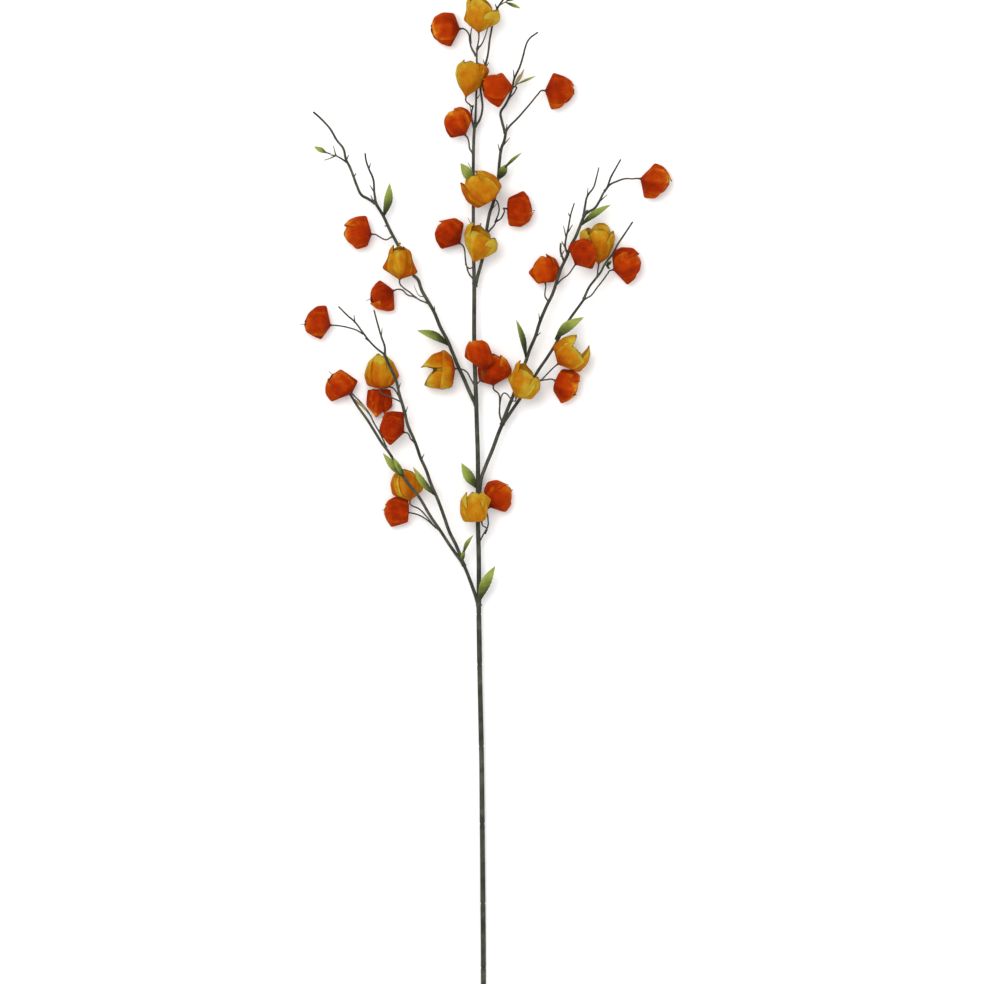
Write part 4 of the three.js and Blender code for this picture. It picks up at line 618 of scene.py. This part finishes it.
stems = {
    "main_stem": [
        shoot((-4, -559, 2.2), (-4, -510, 2.8), (-5, -389, 7), (-6, -286, 10), (-8, -194, 13),
              (-9, -128, 15.5), (-9, -112, 16), radius=(2.75, 2.65)),
        shoot((-9, -121, 15.7), (-9, -70, 16.8), (-10, -26, 17.6), (-10, 40, 18.8), (-11, 73, 19.3),
              (-12, 106, 19.8), (-14, 166, 20), (-14, 227, 20), (-14, 242, 20), radius=(2.55, 2.25)),
        shoot((-14, 233, 20), (-15, 282, 19.7), (-15, 326, 19.3), (-15, 370, 18.7), (-14, 403, 18.2),
              (-13, 413, 18), radius=(1.95, 1.65)),
        shoot((-13, 407, 18), (-12, 436, 17.6), (-11, 469, 17.2), (-11, 491, 17), (-10, 496, 17),
              radius=(1.3, 1)),
        shoot((-9, -52, 17.2), (-6, -46, 18), (-1, -37, 19.5), radius=(0.9, 0.8)),
        shoot((-2, -41, 19), (0, -37, 27), (-2, -34, 34), carries=22),
        shoot((-2, -40, 19.2), (1, -33, 19), (1, -24, 16.5), carries=23),
        shoot((-13, 121, 20), (-10, 124, 28), (-5, 130, 34.5), carries=24),
        shoot((-13, 120, 20), (-18, 129, 22.5), (-23, 137, 24.5), carries=14),
        shoot((-14, 237, 20), (-20, 245, 20), (-23, 255, 20), radius=(0.9, 0.8)),
        shoot((-23, 254, 20), (-24, 263, 20), (-25, 272, 20.5), carries=9),
        shoot((-21, 251, 20), (-19, 250, 28.5), carries=10),
        shoot((-15, 376, 18.7), (-19, 382, 21), (-20, 389, 24.5), radius=(1, 0.85), carries=5),
        shoot((-14, 356, 19), (-19, 363, 20), (-21, 367, 21), radius=(0.55, 0.25)),
        shoot((-15, 297, 19.5), (-19, 302, 20), (-21, 306, 21), radius=(0.55, 0.25)),
        shoot((-14, 402, 18), (-16, 411, 19), (-17, 421, 20), (-15, 430, 20.5), radius=(1, 0.9)),
        shoot((-17, 420, 20), (-19, 430, 21), radius=(0.5, 0.25)),
        shoot((-16, 428, 20.3), (-20, 431, 26), carries=3),
        shoot((-13, 406, 18), (-8, 414, 19), (-5, 427, 19.5), (-6, 439, 19), (-7, 449, 18), (-4, 460, 17),
              (-2, 473, 17.5), (1, 486, 18), (3, 502, 18.5), (5, 513, 19), (7, 524, 20), (9, 531, 21),
              (13, 539, 22), (19, 548, 24), (21, 556, 26), radius=(1.25, 1.05)),
        shoot((-2, 473, 17.5), (-4, 480, 19)),
        shoot((-2, 471, 17.5), (2, 477, 18)),
        shoot((1, 485, 18), (2, 492, 19)),
        shoot((11, 536, 21.7), (9, 541, 23)),
        shoot((-12, 436, 17.6), (-7, 443, 18), radius=(0.5, 0.3)),
        shoot((-12, 484, 17.1), (-17, 493, 18), (-19, 501, 18.2), (-20, 508, 17.8), radius=(1.15, 0.85),
              carries=1),
        shoot((-18, 498, 18.7), (-18, 508, 18), (-16, 518, 18), radius=(0.95, 0.5)),
        shoot((-11, 492, 17), (-10, 497, 22), (-9, 502, 30), carries=2),
        shoot((-11, 491, 17), (-6, 497, 17.3), (-2, 506, 17), (1, 516, 16.5), radius=(0.95, 0.5)),
    ],
    "left_lower_branch": [
        shoot((-9, -122, 15.8), (-13, -109, 16.5), (-19, -92, 18), (-25, -77, 20), (-29, -69, 21),
              radius=(2, 1.8)),
        shoot((-26, -75, 20.3), (-41, -54, 26), (-52, -37, 31), (-61, -24, 34.5), (-76, 1, 38.5),
              (-86, 13, 39.8), (-96, 29, 40), (-107, 47, 40), (-116, 59, 40), (-124, 72, 39.5),
              (-133, 86, 39), (-141, 97, 38), (-151, 113, 36.5), radius=(1.8, 1.35)),
        shoot((-25, -77, 20), (-34, -54, 24), (-41, -40, 27), (-47, -23, 30), (-54, -4, 32.5),
              (-61, 12, 34.5), (-67, 29, 36.5), (-73, 42, 38), (-77, 54, 39), (-81, 64, 39.5),
              (-87, 78, 40), (-91, 95, 40.3), (-96, 111, 40.5), (-100, 128, 41), (-107, 143, 41.5),
              (-113, 157, 41), radius=(1.9, 1.55)),
        shoot((-50, -40, 30.5), (-58, -33, 27), (-66, -23, 24), (-75, -14, 20.5), carries=20),
        shoot((-56, -35, 28), (-65, -27, 23.5), (-75, -21, 18), carries=21),
        shoot((-110, 53, 40), (-117, 68, 38.5), (-124, 80, 36), (-129, 90, 32.5), (-138, 102, 25),
              carries=16),
        shoot((-79, 58, 39), (-84, 63, 34), carries=19),
        shoot((-72, 40, 38), (-69, 46, 39)),
        shoot((-90, 89, 40), (-87, 98, 41)),
        shoot((-97, 117, 40.5), (-95, 124, 41.5)),
        shoot((-94, 103, 40.3), (-100, 106, 31), (-109, 110, 24.5), carries=17),
        shoot((-91, 90, 40), (-94, 101, 30), (-99, 113, 19), (-106, 120, 12), (-113, 119, 11.5),
              carries=18),
        shoot((-112, 155, 41), (-120, 161, 40), (-129, 170, 38), (-136, 179, 36), (-145, 191, 37),
              (-153, 198, 38), (-163, 208, 39), radius=(1.1, 0.9)),
        shoot((-129, 170, 38), (-134, 173, 39)),
        shoot((-145, 190, 37), (-146, 199, 38)),
        shoot((-112, 154, 41), (-112, 163, 41.5), (-116, 175, 42), (-120, 189, 42.5), (-124, 204, 43),
              radius=(1.2, 0.9)),
        shoot((-116, 174, 42), (-115, 184, 43)),
        shoot((-136, 178, 36), (-143, 182, 33.5), (-152, 185, 28), (-161, 187, 21.5), carries=15),
    ],
    "left_upper_branch": [
        shoot((-12, 100, 19.7), (-19, 114, 20), (-25, 128, 20.3), (-32, 143, 20.7), (-38, 158, 21),
              (-44, 172, 21), (-51, 185, 21), (-58, 202, 21), (-66, 216, 21), (-72, 227, 20.5),
              (-76, 238, 20), (-81, 243, 20), (-90, 261, 19.5), (-99, 278, 19), (-107, 293, 19),
              (-114, 308, 19), (-120, 318, 19.5), (-125, 326, 20), radius=(2.1, 1.6)),
        shoot((-109, 297, 19), (-113, 297, 20), radius=(0.6, 0.4)),
        shoot((-57, 199, 21), (-58, 209, 22)),
        shoot((-78, 218, 21.5), (-85, 224, 24), (-92, 229, 28.5), carries=12),
        shoot((-65, 212, 21), (-73, 215, 21.5), (-80, 219, 21.5), (-87, 221, 18.5), (-94, 227, 15.5),
              carries=13),
        shoot((-68, 219, 21), (-74, 220, 21), (-78, 226, 21.5), (-80, 232, 22), radius=(0.55, 0.25)),
        shoot((-103, 286, 19), (-111, 282, 18.5), (-118, 285, 17.8), carries=11),
        shoot((-123, 322, 20), (-131, 327, 20), (-138, 331, 20.5), (-143, 341, 21), (-146, 349, 21.5),
              (-151, 362, 22.5), (-155, 370, 23), (-158, 382, 24), (-165, 391, 25), (-172, 403, 26),
              (-177, 409, 27), (-185, 417, 28), (-191, 422, 29), radius=(1.55, 1.1)),
        shoot((-125, 324, 20), (-128, 331, 21), radius=(0.6, 0.45)),
        shoot((-136, 330, 20.4), (-140, 332, 21), radius=(0.5, 0.4)),
        shoot((-147, 350, 21.5), (-144, 355, 22.5)),
        shoot((-155, 369, 23), (-152, 375, 24)),
        shoot((-154, 367, 23), (-162, 372, 24), (-166, 374, 24.5), (-172, 375, 25), radius=(1, 0.7)),
        shoot((-166, 374, 24.5), (-169, 385, 26)),
        shoot((-167, 374, 24.5), (-173, 371, 25), (-179, 369, 25.5)),
        shoot((-122, 321, 19.8), (-124, 334, 21), (-125, 348, 22), (-130, 360, 23), (-133, 369, 24),
              (-134, 377, 25), radius=(1.3, 0.95)),
        shoot((-124, 334, 21), (-129, 342, 22)),
        shoot((-130, 359, 23), (-128, 366, 24)),
    ],
    "right_branch": [
        shoot((-9, -1, 18.2), (-6, 20, 19), (-1, 34, 19.5), (6, 51, 20), (13, 70, 20), (19, 84, 20),
              radius=(2, 2.1)),
        shoot((16, 78, 20), (22, 94, 20.3), (29, 111, 21), (36, 131, 21.5), (44, 152, 22.5),
              (47, 161, 23), (53, 175, 23.5), (58, 191, 24), (66, 210, 24.5), (72, 222, 25),
              (77, 237, 25), (81, 249, 25), (88, 264, 25), (92, 275, 25), (97, 284, 25.5), (102, 296, 26),
              (107, 308, 26.5), (111, 314, 27), radius=(2, 1.65)),
        shoot((17, 79, 20), (28, 95, 20.5), (37, 108, 21.5), (47, 122, 22.5), (57, 139, 23.2),
              (66, 152, 23.3), (76, 168, 24.1), (84, 183, 25.6), (92, 196, 27), (100, 207, 28),
              (108, 218, 29), radius=(1.9, 1.4)),
        shoot((17, 80, 20), (14, 89, 20), (14, 102, 19), (13, 112, 17.5), radius=(1.1, 0.85), carries=25),
        shoot((14, 101, 20), (16, 110, 26), (20, 113, 32.5), carries=26),
        shoot((42, 114, 22), (51, 123, 23.5), (59, 127, 25), (65, 133, 27), radius=(0.9, 0.8),
              carries=27),
        shoot((58, 127, 24.8), (66, 128, 20), carries=28),
        shoot((53, 174, 23.5), (59, 180, 24.5)),
        shoot((58, 190, 24), (57, 201, 25)),
        shoot((68, 213, 24.5), (64, 219, 21.5), (64, 226, 17.5), carries=29),
        shoot((77, 233, 25), (82, 238, 28), (89, 243, 34.5), carries=30),
        shoot((85, 257, 25), (81, 268, 26), (81, 278, 27), radius=(1.2, 1.1)),
        shoot((81, 263, 25.6), (85, 270, 26.5)),
        shoot((89, 264, 25), (86, 274, 26.5), (87, 284, 28), (89, 293, 29), (92, 309, 30), (96, 322, 31),
              radius=(1.2, 0.75)),
        shoot((86, 273, 26.4), (82, 280, 27.5)),
        shoot((87, 284, 28), (84, 297, 29)),
        shoot((89, 290, 28.8), (94, 298, 30)),
        shoot((92, 306, 29.8), (89, 311, 31)),
        shoot((106, 307, 26.3), (108, 320, 28), (110, 329, 29), (117, 339, 30), (120, 349, 31),
              (123, 361, 32), radius=(1.35, 0.75)),
        shoot((110, 328, 29), (111, 339, 30)),
        shoot((109, 311, 26.7), (118, 316, 27), (123, 323, 27), (128, 333, 27), (132, 339, 27),
              (136, 350, 28), (142, 361, 29), (147, 370, 30), radius=(1.4, 0.9)),
        shoot((123, 323, 27), (132, 331, 28)),
        shoot((129, 335, 27), (135, 342, 26), (143, 346, 24.5), (152, 349, 20.5), (161, 349, 18.3),
              radius=(1.2, 0.85), carries=33),
        shoot((106, 216, 28.8), (112, 229, 31), (118, 237, 32), (125, 246, 33.5), (129, 254, 34.5),
              (138, 266, 36), (144, 277, 37), (150, 286, 37.5), (160, 301, 39), radius=(1.4, 0.95)),
        shoot((118, 237, 32), (121, 242, 26), (122, 249, 17.5), carries=31),
        shoot((107, 216, 28.8), (114, 220, 28), (121, 229, 27), (128, 238, 24), (133, 245, 20),
              carries=32),
    ],
    "top_right_branch": [
        shoot((-13, 230, 20), (-10, 243, 20), (-6, 257, 20), (-2, 277, 20), (0, 295, 20), (3, 311, 20),
              (7, 323, 20), (12, 348, 19.5), (14, 370, 19.3), (16, 383, 19.3), (19, 391, 19.3),
              (21, 403, 19.5), radius=(1.9, 1.6)),
        shoot((21, 402, 19.5), (22, 409, 20.5), radius=(0.6, 0.45)),
        shoot((15, 376, 19.3), (12, 387, 20.5)),
        shoot((18, 386, 19.3), (25, 394, 20.5)),
        shoot((4, 314, 20), (12, 323, 19), radius=(0.55, 0.25)),
        shoot((1, 290, 20), (8, 298, 20), (11, 305, 20.5), radius=(1, 0.85)),
        shoot((9, 301, 20.3), (13, 312, 26), (13, 318, 30.5), carries=7),
        shoot((10, 302, 20.3), (14, 304, 20.5), (18, 310, 20.5), (19, 315, 20.5), carries=8),
        shoot((20, 399, 19.5), (16, 414, 19.3), (15, 422, 19), (20, 430, 18.5), (24, 438, 18),
              (28, 450, 18.5), (30, 459, 19.5), (36, 472, 21), (40, 485, 22), (42, 493, 22.5),
              (46, 502, 23), (56, 510, 24), radius=(1.5, 0.9)),
        shoot((30, 458, 19.4), (29, 469, 20.5)),
        shoot((24, 437, 18), (28, 441, 26), (31, 445, 34), carries=4),
        shoot((21, 402, 19.5), (25, 407, 19.5), (34, 416, 19.5), (41, 424, 19.5), (47, 431, 18.5),
              (56, 442, 17.8), radius=(1.2, 0.85), carries=6),
    ],
}


def shootPoints(limb, first):
    points = [Vector(p) for p in limb["route"]]
    steps = [(a - b).length for a, b in zip(points[1:], points)]
    whole = sum(steps)
    start, end = limb["radius"]
    radii = [start + (end - start) * sum(steps[:k]) / whole for k in range(len(points))]
    if first:  # the main stem has a faint ring at each node, its cut end is below
        for ring in wire["nodes"]:
            after = next(k for k, point in enumerate(points) if point.y > ring)
            low, high = points[after - 1], points[after]
            thick, thin = radii[after - 1], radii[after]
            for step, size in wire["nodeShape"]:
                share = (ring + step - low.y) / (high.y - low.y)
                points.insert(after, low.lerp(high, share))
                radii.insert(after, size * (thick + (thin - thick) * share))
    else:  # a shoot swells where it leaves its stem
        radii[0] *= wire["collar"]
        if steps[0] > wire["collarRoom"]:
            points.insert(1, points[0].lerp(points[1], wire["collarRun"] / steps[0]))
            radii.insert(1, start * wire["neck"])
    if limb["carries"]:
        husk = husks[limb["carries"] - 1]
        ahead, root = Vector(aheadOf(husk)), Vector(husk["root"])
        inside = husk.get("pin", wire["insideRun"])
        runs = -wire["straightRun"], -wire["beadBefore"], 0, wire["insideStart"], inside
        points += [root + ahead * run for run in runs]
        radii += [end, end * wire["beadRise"], end * wire["bead"], end, wire["pinTip"]]
    return points, radii


def drawStem(node, limbs):
    curve = bpy.data.curves.new(node + "_bark", "CURVE")
    curve.dimensions = "3D"
    curve.bevel_depth = mm
    curve.bevel_resolution = wire["roundness"]
    curve.resolution_u = wire["smoothness"]
    curve.use_fill_caps = True
    for k, limb in enumerate(limbs):
        points, radii = shootPoints(limb, k == 0 and node == "main_stem")
        spline = curve.splines.new("BEZIER")
        spline.bezier_points.add(len(points) - 1)
        for place, point, radius in zip(spline.bezier_points, points, radii):
            place.co = point * mm
            place.radius = radius
            place.handle_left_type = place.handle_right_type = "AUTO"
    piece = bpy.data.objects.new(node + "_bark", curve)
    bpy.context.collection.objects.link(piece)
    selectOnly(piece)
    bpy.ops.object.convert(target="MESH")
    piece = bpy.context.object
    writePoints(piece, readPoints(piece))
    smoothPiece(piece, wire["sharp"])
    return piece


for node, limbs in stems.items():
    finishPiece(drawStem(node, limbs), barkMaterial, node)
print("stems done")


# The blades of each leaf, in mm. sway bends a blade sideways, and tone makes it lighter or darker.
leaves = {
    "leaf_01": [dict(root=(-15, 342, 19.3), tip=(-29, 366, 21), width=12, sway=-1, tone=0.2)],
    "leaf_02": [
        dict(root=(12, 348, 19.5), tip=(22, 365, 23), width=10, tone=-0.25),
        dict(root=(18, 359, 22.3), tip=(39, 378, 25), width=4, sway=1, tone=-0.1),
    ],
    "leaf_03": [dict(root=(-114, 307, 19), tip=(-107, 344, 24), width=10, sway=-2)],
    "leaf_04": [dict(root=(-41, 165, 21), tip=(-77, 182, 25), width=10, sway=-3, tone=-0.1)],
    "leaf_05": [
        dict(root=(-90, 20, 40), tip=(-114, 47, 46), width=9, sway=1),
        dict(root=(-90, 19, 40), tip=(-103, 43, 47), width=6),
    ],
    "leaf_06": [dict(root=(-56, 0, 33), tip=(-81, 32, 38), width=8, sway=2)],
    "leaf_07": [dict(root=(-10, 8, 18), tip=(-28, 36, 24), width=12, sway=1)],
    "leaf_08": [
        dict(root=(-28, -73, 21), tip=(-25, -58, 25), width=5),
        dict(root=(-26, -64, 24.2), tip=(-15, -43, 27), width=5, sway=2),
    ],
    "leaf_09": [dict(root=(-9, -117, 16), tip=(9, -77, 24), width=12, sway=2)],
    "leaf_10": [dict(root=(43, 150, 22.5), tip=(32, 194, 28), width=7, sway=-2, tone=-0.25)],
    "leaf_11": [dict(root=(75, 172, 25), tip=(106, 196, 38), width=12, sway=3)],
    "leaf_12": [dict(root=(103, 297, 26), tip=(136, 320, 31), width=8, sway=2)],
    "sprig_1": [dict(root=(-176, 377, 25.8), tip=(-190, 384, 28), width=6, tone=0.25)],
    "sprig_2": [
        dict(root=(30, 450, 19.3), tip=(36, 464, 22), width=3, tone=1),
        dict(root=(33, 453, 20), tip=(41, 470, 24), width=3, tone=1),
        dict(root=(33, 453, 20), tip=(54, 462, 23), width=3, tone=0.1),
    ],
    "sprig_3": [
        dict(root=(131, 253, 35.6), tip=(137, 258, 38), width=4, tone=-0.5),
        dict(root=(131, 253, 35.6), tip=(135, 249, 36.5), width=3, tone=-0.6),
    ],
    "sprig_4": [
        dict(root=(-131, 92, 34), tip=(-140, 103, 35), width=3, tone=1),
        dict(root=(-134, 96, 34.5), tip=(-148, 108, 32.5), width=3, tone=1),
    ],
    "sprig_5": [
        dict(root=(21, 544, 24.5), tip=(35, 550, 27), width=5),
        dict(root=(20, 543, 24), tip=(37, 536, 26), width=4),
    ],
}
stalks = {  # of the sprigs, root first
    "sprig_1": [(-172, 376, 25.1), (-178, 378, 26.1)],
    "sprig_2": [(27, 447, 18.4), (30, 450, 19.3), (34, 454, 20.3)],
    "sprig_3": [(129, 254, 34.5), (134, 253, 35.9)],
    "sprig_4": [(-127, 87, 33.5), (-131, 92, 34.3), (-135, 98, 34.6)],
    "sprig_5": [(14, 540, 22.1), (18, 542, 23.2), (22, 544, 25)],
}
blade = dict(
    across=8, along=20, nick=0.94, wall=0.6, sharp=50,  # its faces, its toothed edge and the cloth
    arch=0.08, fold=0.3, wave=0.35, waves=9, wavePhase=6,
    tipBlush=1.1, rootBlush=-0.05, paintedSideShade=-0.2, chance=0.06,  # of the blush: darker at the root, partly printed colour and partly painted shade of the fold; the side term is painted shade on one side of the folded blade and painted light on the other; chance is the dye's spread
    stalk=(0.7, 0.6), stalkBlush=0.35, firstSeed=100, seedStep=7,
)
bladeWidths = [(0.0, 0.2), (0.12, 0.38), (0.28, 0.72), (0.45, 0.96), (0.6, 0.96), (0.75, 0.72),
               (0.9, 0.34), (1.0, 0.03)]


def makeBlade():
    sheet = drawSheet("bladePattern", blade,
                      lambda row, y: np.interp(y, *zip(*bladeWidths)) * (blade["nick"] if row % 2 else 1))
    thickenSheet(sheet)
    return sheet


def fitBlade(piece, part, seed):
    rng = random.Random(seed)
    flat = readPoints(piece)
    x, y, depth = flat[:, 0], np.clip(flat[:, 1], 0, 1), -flat[:, 2] / pattern["wall"]
    root, tip = np.array(part["root"], float), np.array(part["tip"], float)
    along = tip - root
    length = np.linalg.norm(along)
    across = np.cross(along, (0, 0, 1))
    across /= np.linalg.norm(across)
    out = np.cross(across, along / length)
    side = x * part["width"] / 2
    bow = np.sin(np.pi * y)
    rise = length * blade["arch"] * bow + blade["fold"] * np.abs(side)
    rise += blade["wave"] * np.abs(x) * np.sin(blade["waves"] * y + rng.uniform(0, blade["wavePhase"]))
    rise -= depth * blade["wall"]
    sideways = side - part.get("sway", 0) * bow
    writePoints(piece, (root + np.outer(y, along) + np.outer(sideways, across) + np.outer(rise, out)) * mm)
    tone = part.get("tone", 0)
    # painted shade and light: one side of the folded blade darker and the other lighter, and the root
    # darker, partly printed colour and partly painted shade of the fold
    blush = blade["tipBlush"] * y + blade["rootBlush"] + blade["paintedSideShade"] * x
    blush += rng.uniform(-blade["chance"], blade["chance"]) + tone
    giveShade(piece, np.clip(blush, 0, 1 if tone == 1 else greenery["lightest"]))


bladePattern = makeBlade()
for number, (node, blades) in enumerate(leaves.items()):
    parts = []
    for k, part in enumerate(blades):
        parts.append(ownCopy(bladePattern, f"{node}_blade{k}"))
        fitBlade(parts[-1], part, blade["firstSeed"] + blade["seedStep"] * number + k)
    if node in stalks:
        stalk = drawStem(node, [shoot(*stalks[node], radius=blade["stalk"])])
        giveShade(stalk, np.full(len(stalk.data.vertices), blade["stalkBlush"]))
        parts.append(stalk)
    selectOnly(parts[0])
    for part in parts[1:]:
        part.select_set(True)
    if len(parts) > 1:
        bpy.ops.object.join()
    piece = bpy.context.object
    piece.name = node + "_blades"
    smoothPiece(piece, blade["sharp"])
    finishPiece(piece, leafMaterial, node)
bpy.data.objects.remove(bladePattern)
print("leaves done")

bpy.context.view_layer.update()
faces = [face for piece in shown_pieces() if piece.type == "MESH" for face in piece.data.polygons]
print("triangles", sum(len(face.vertices) - 2 for face in faces))
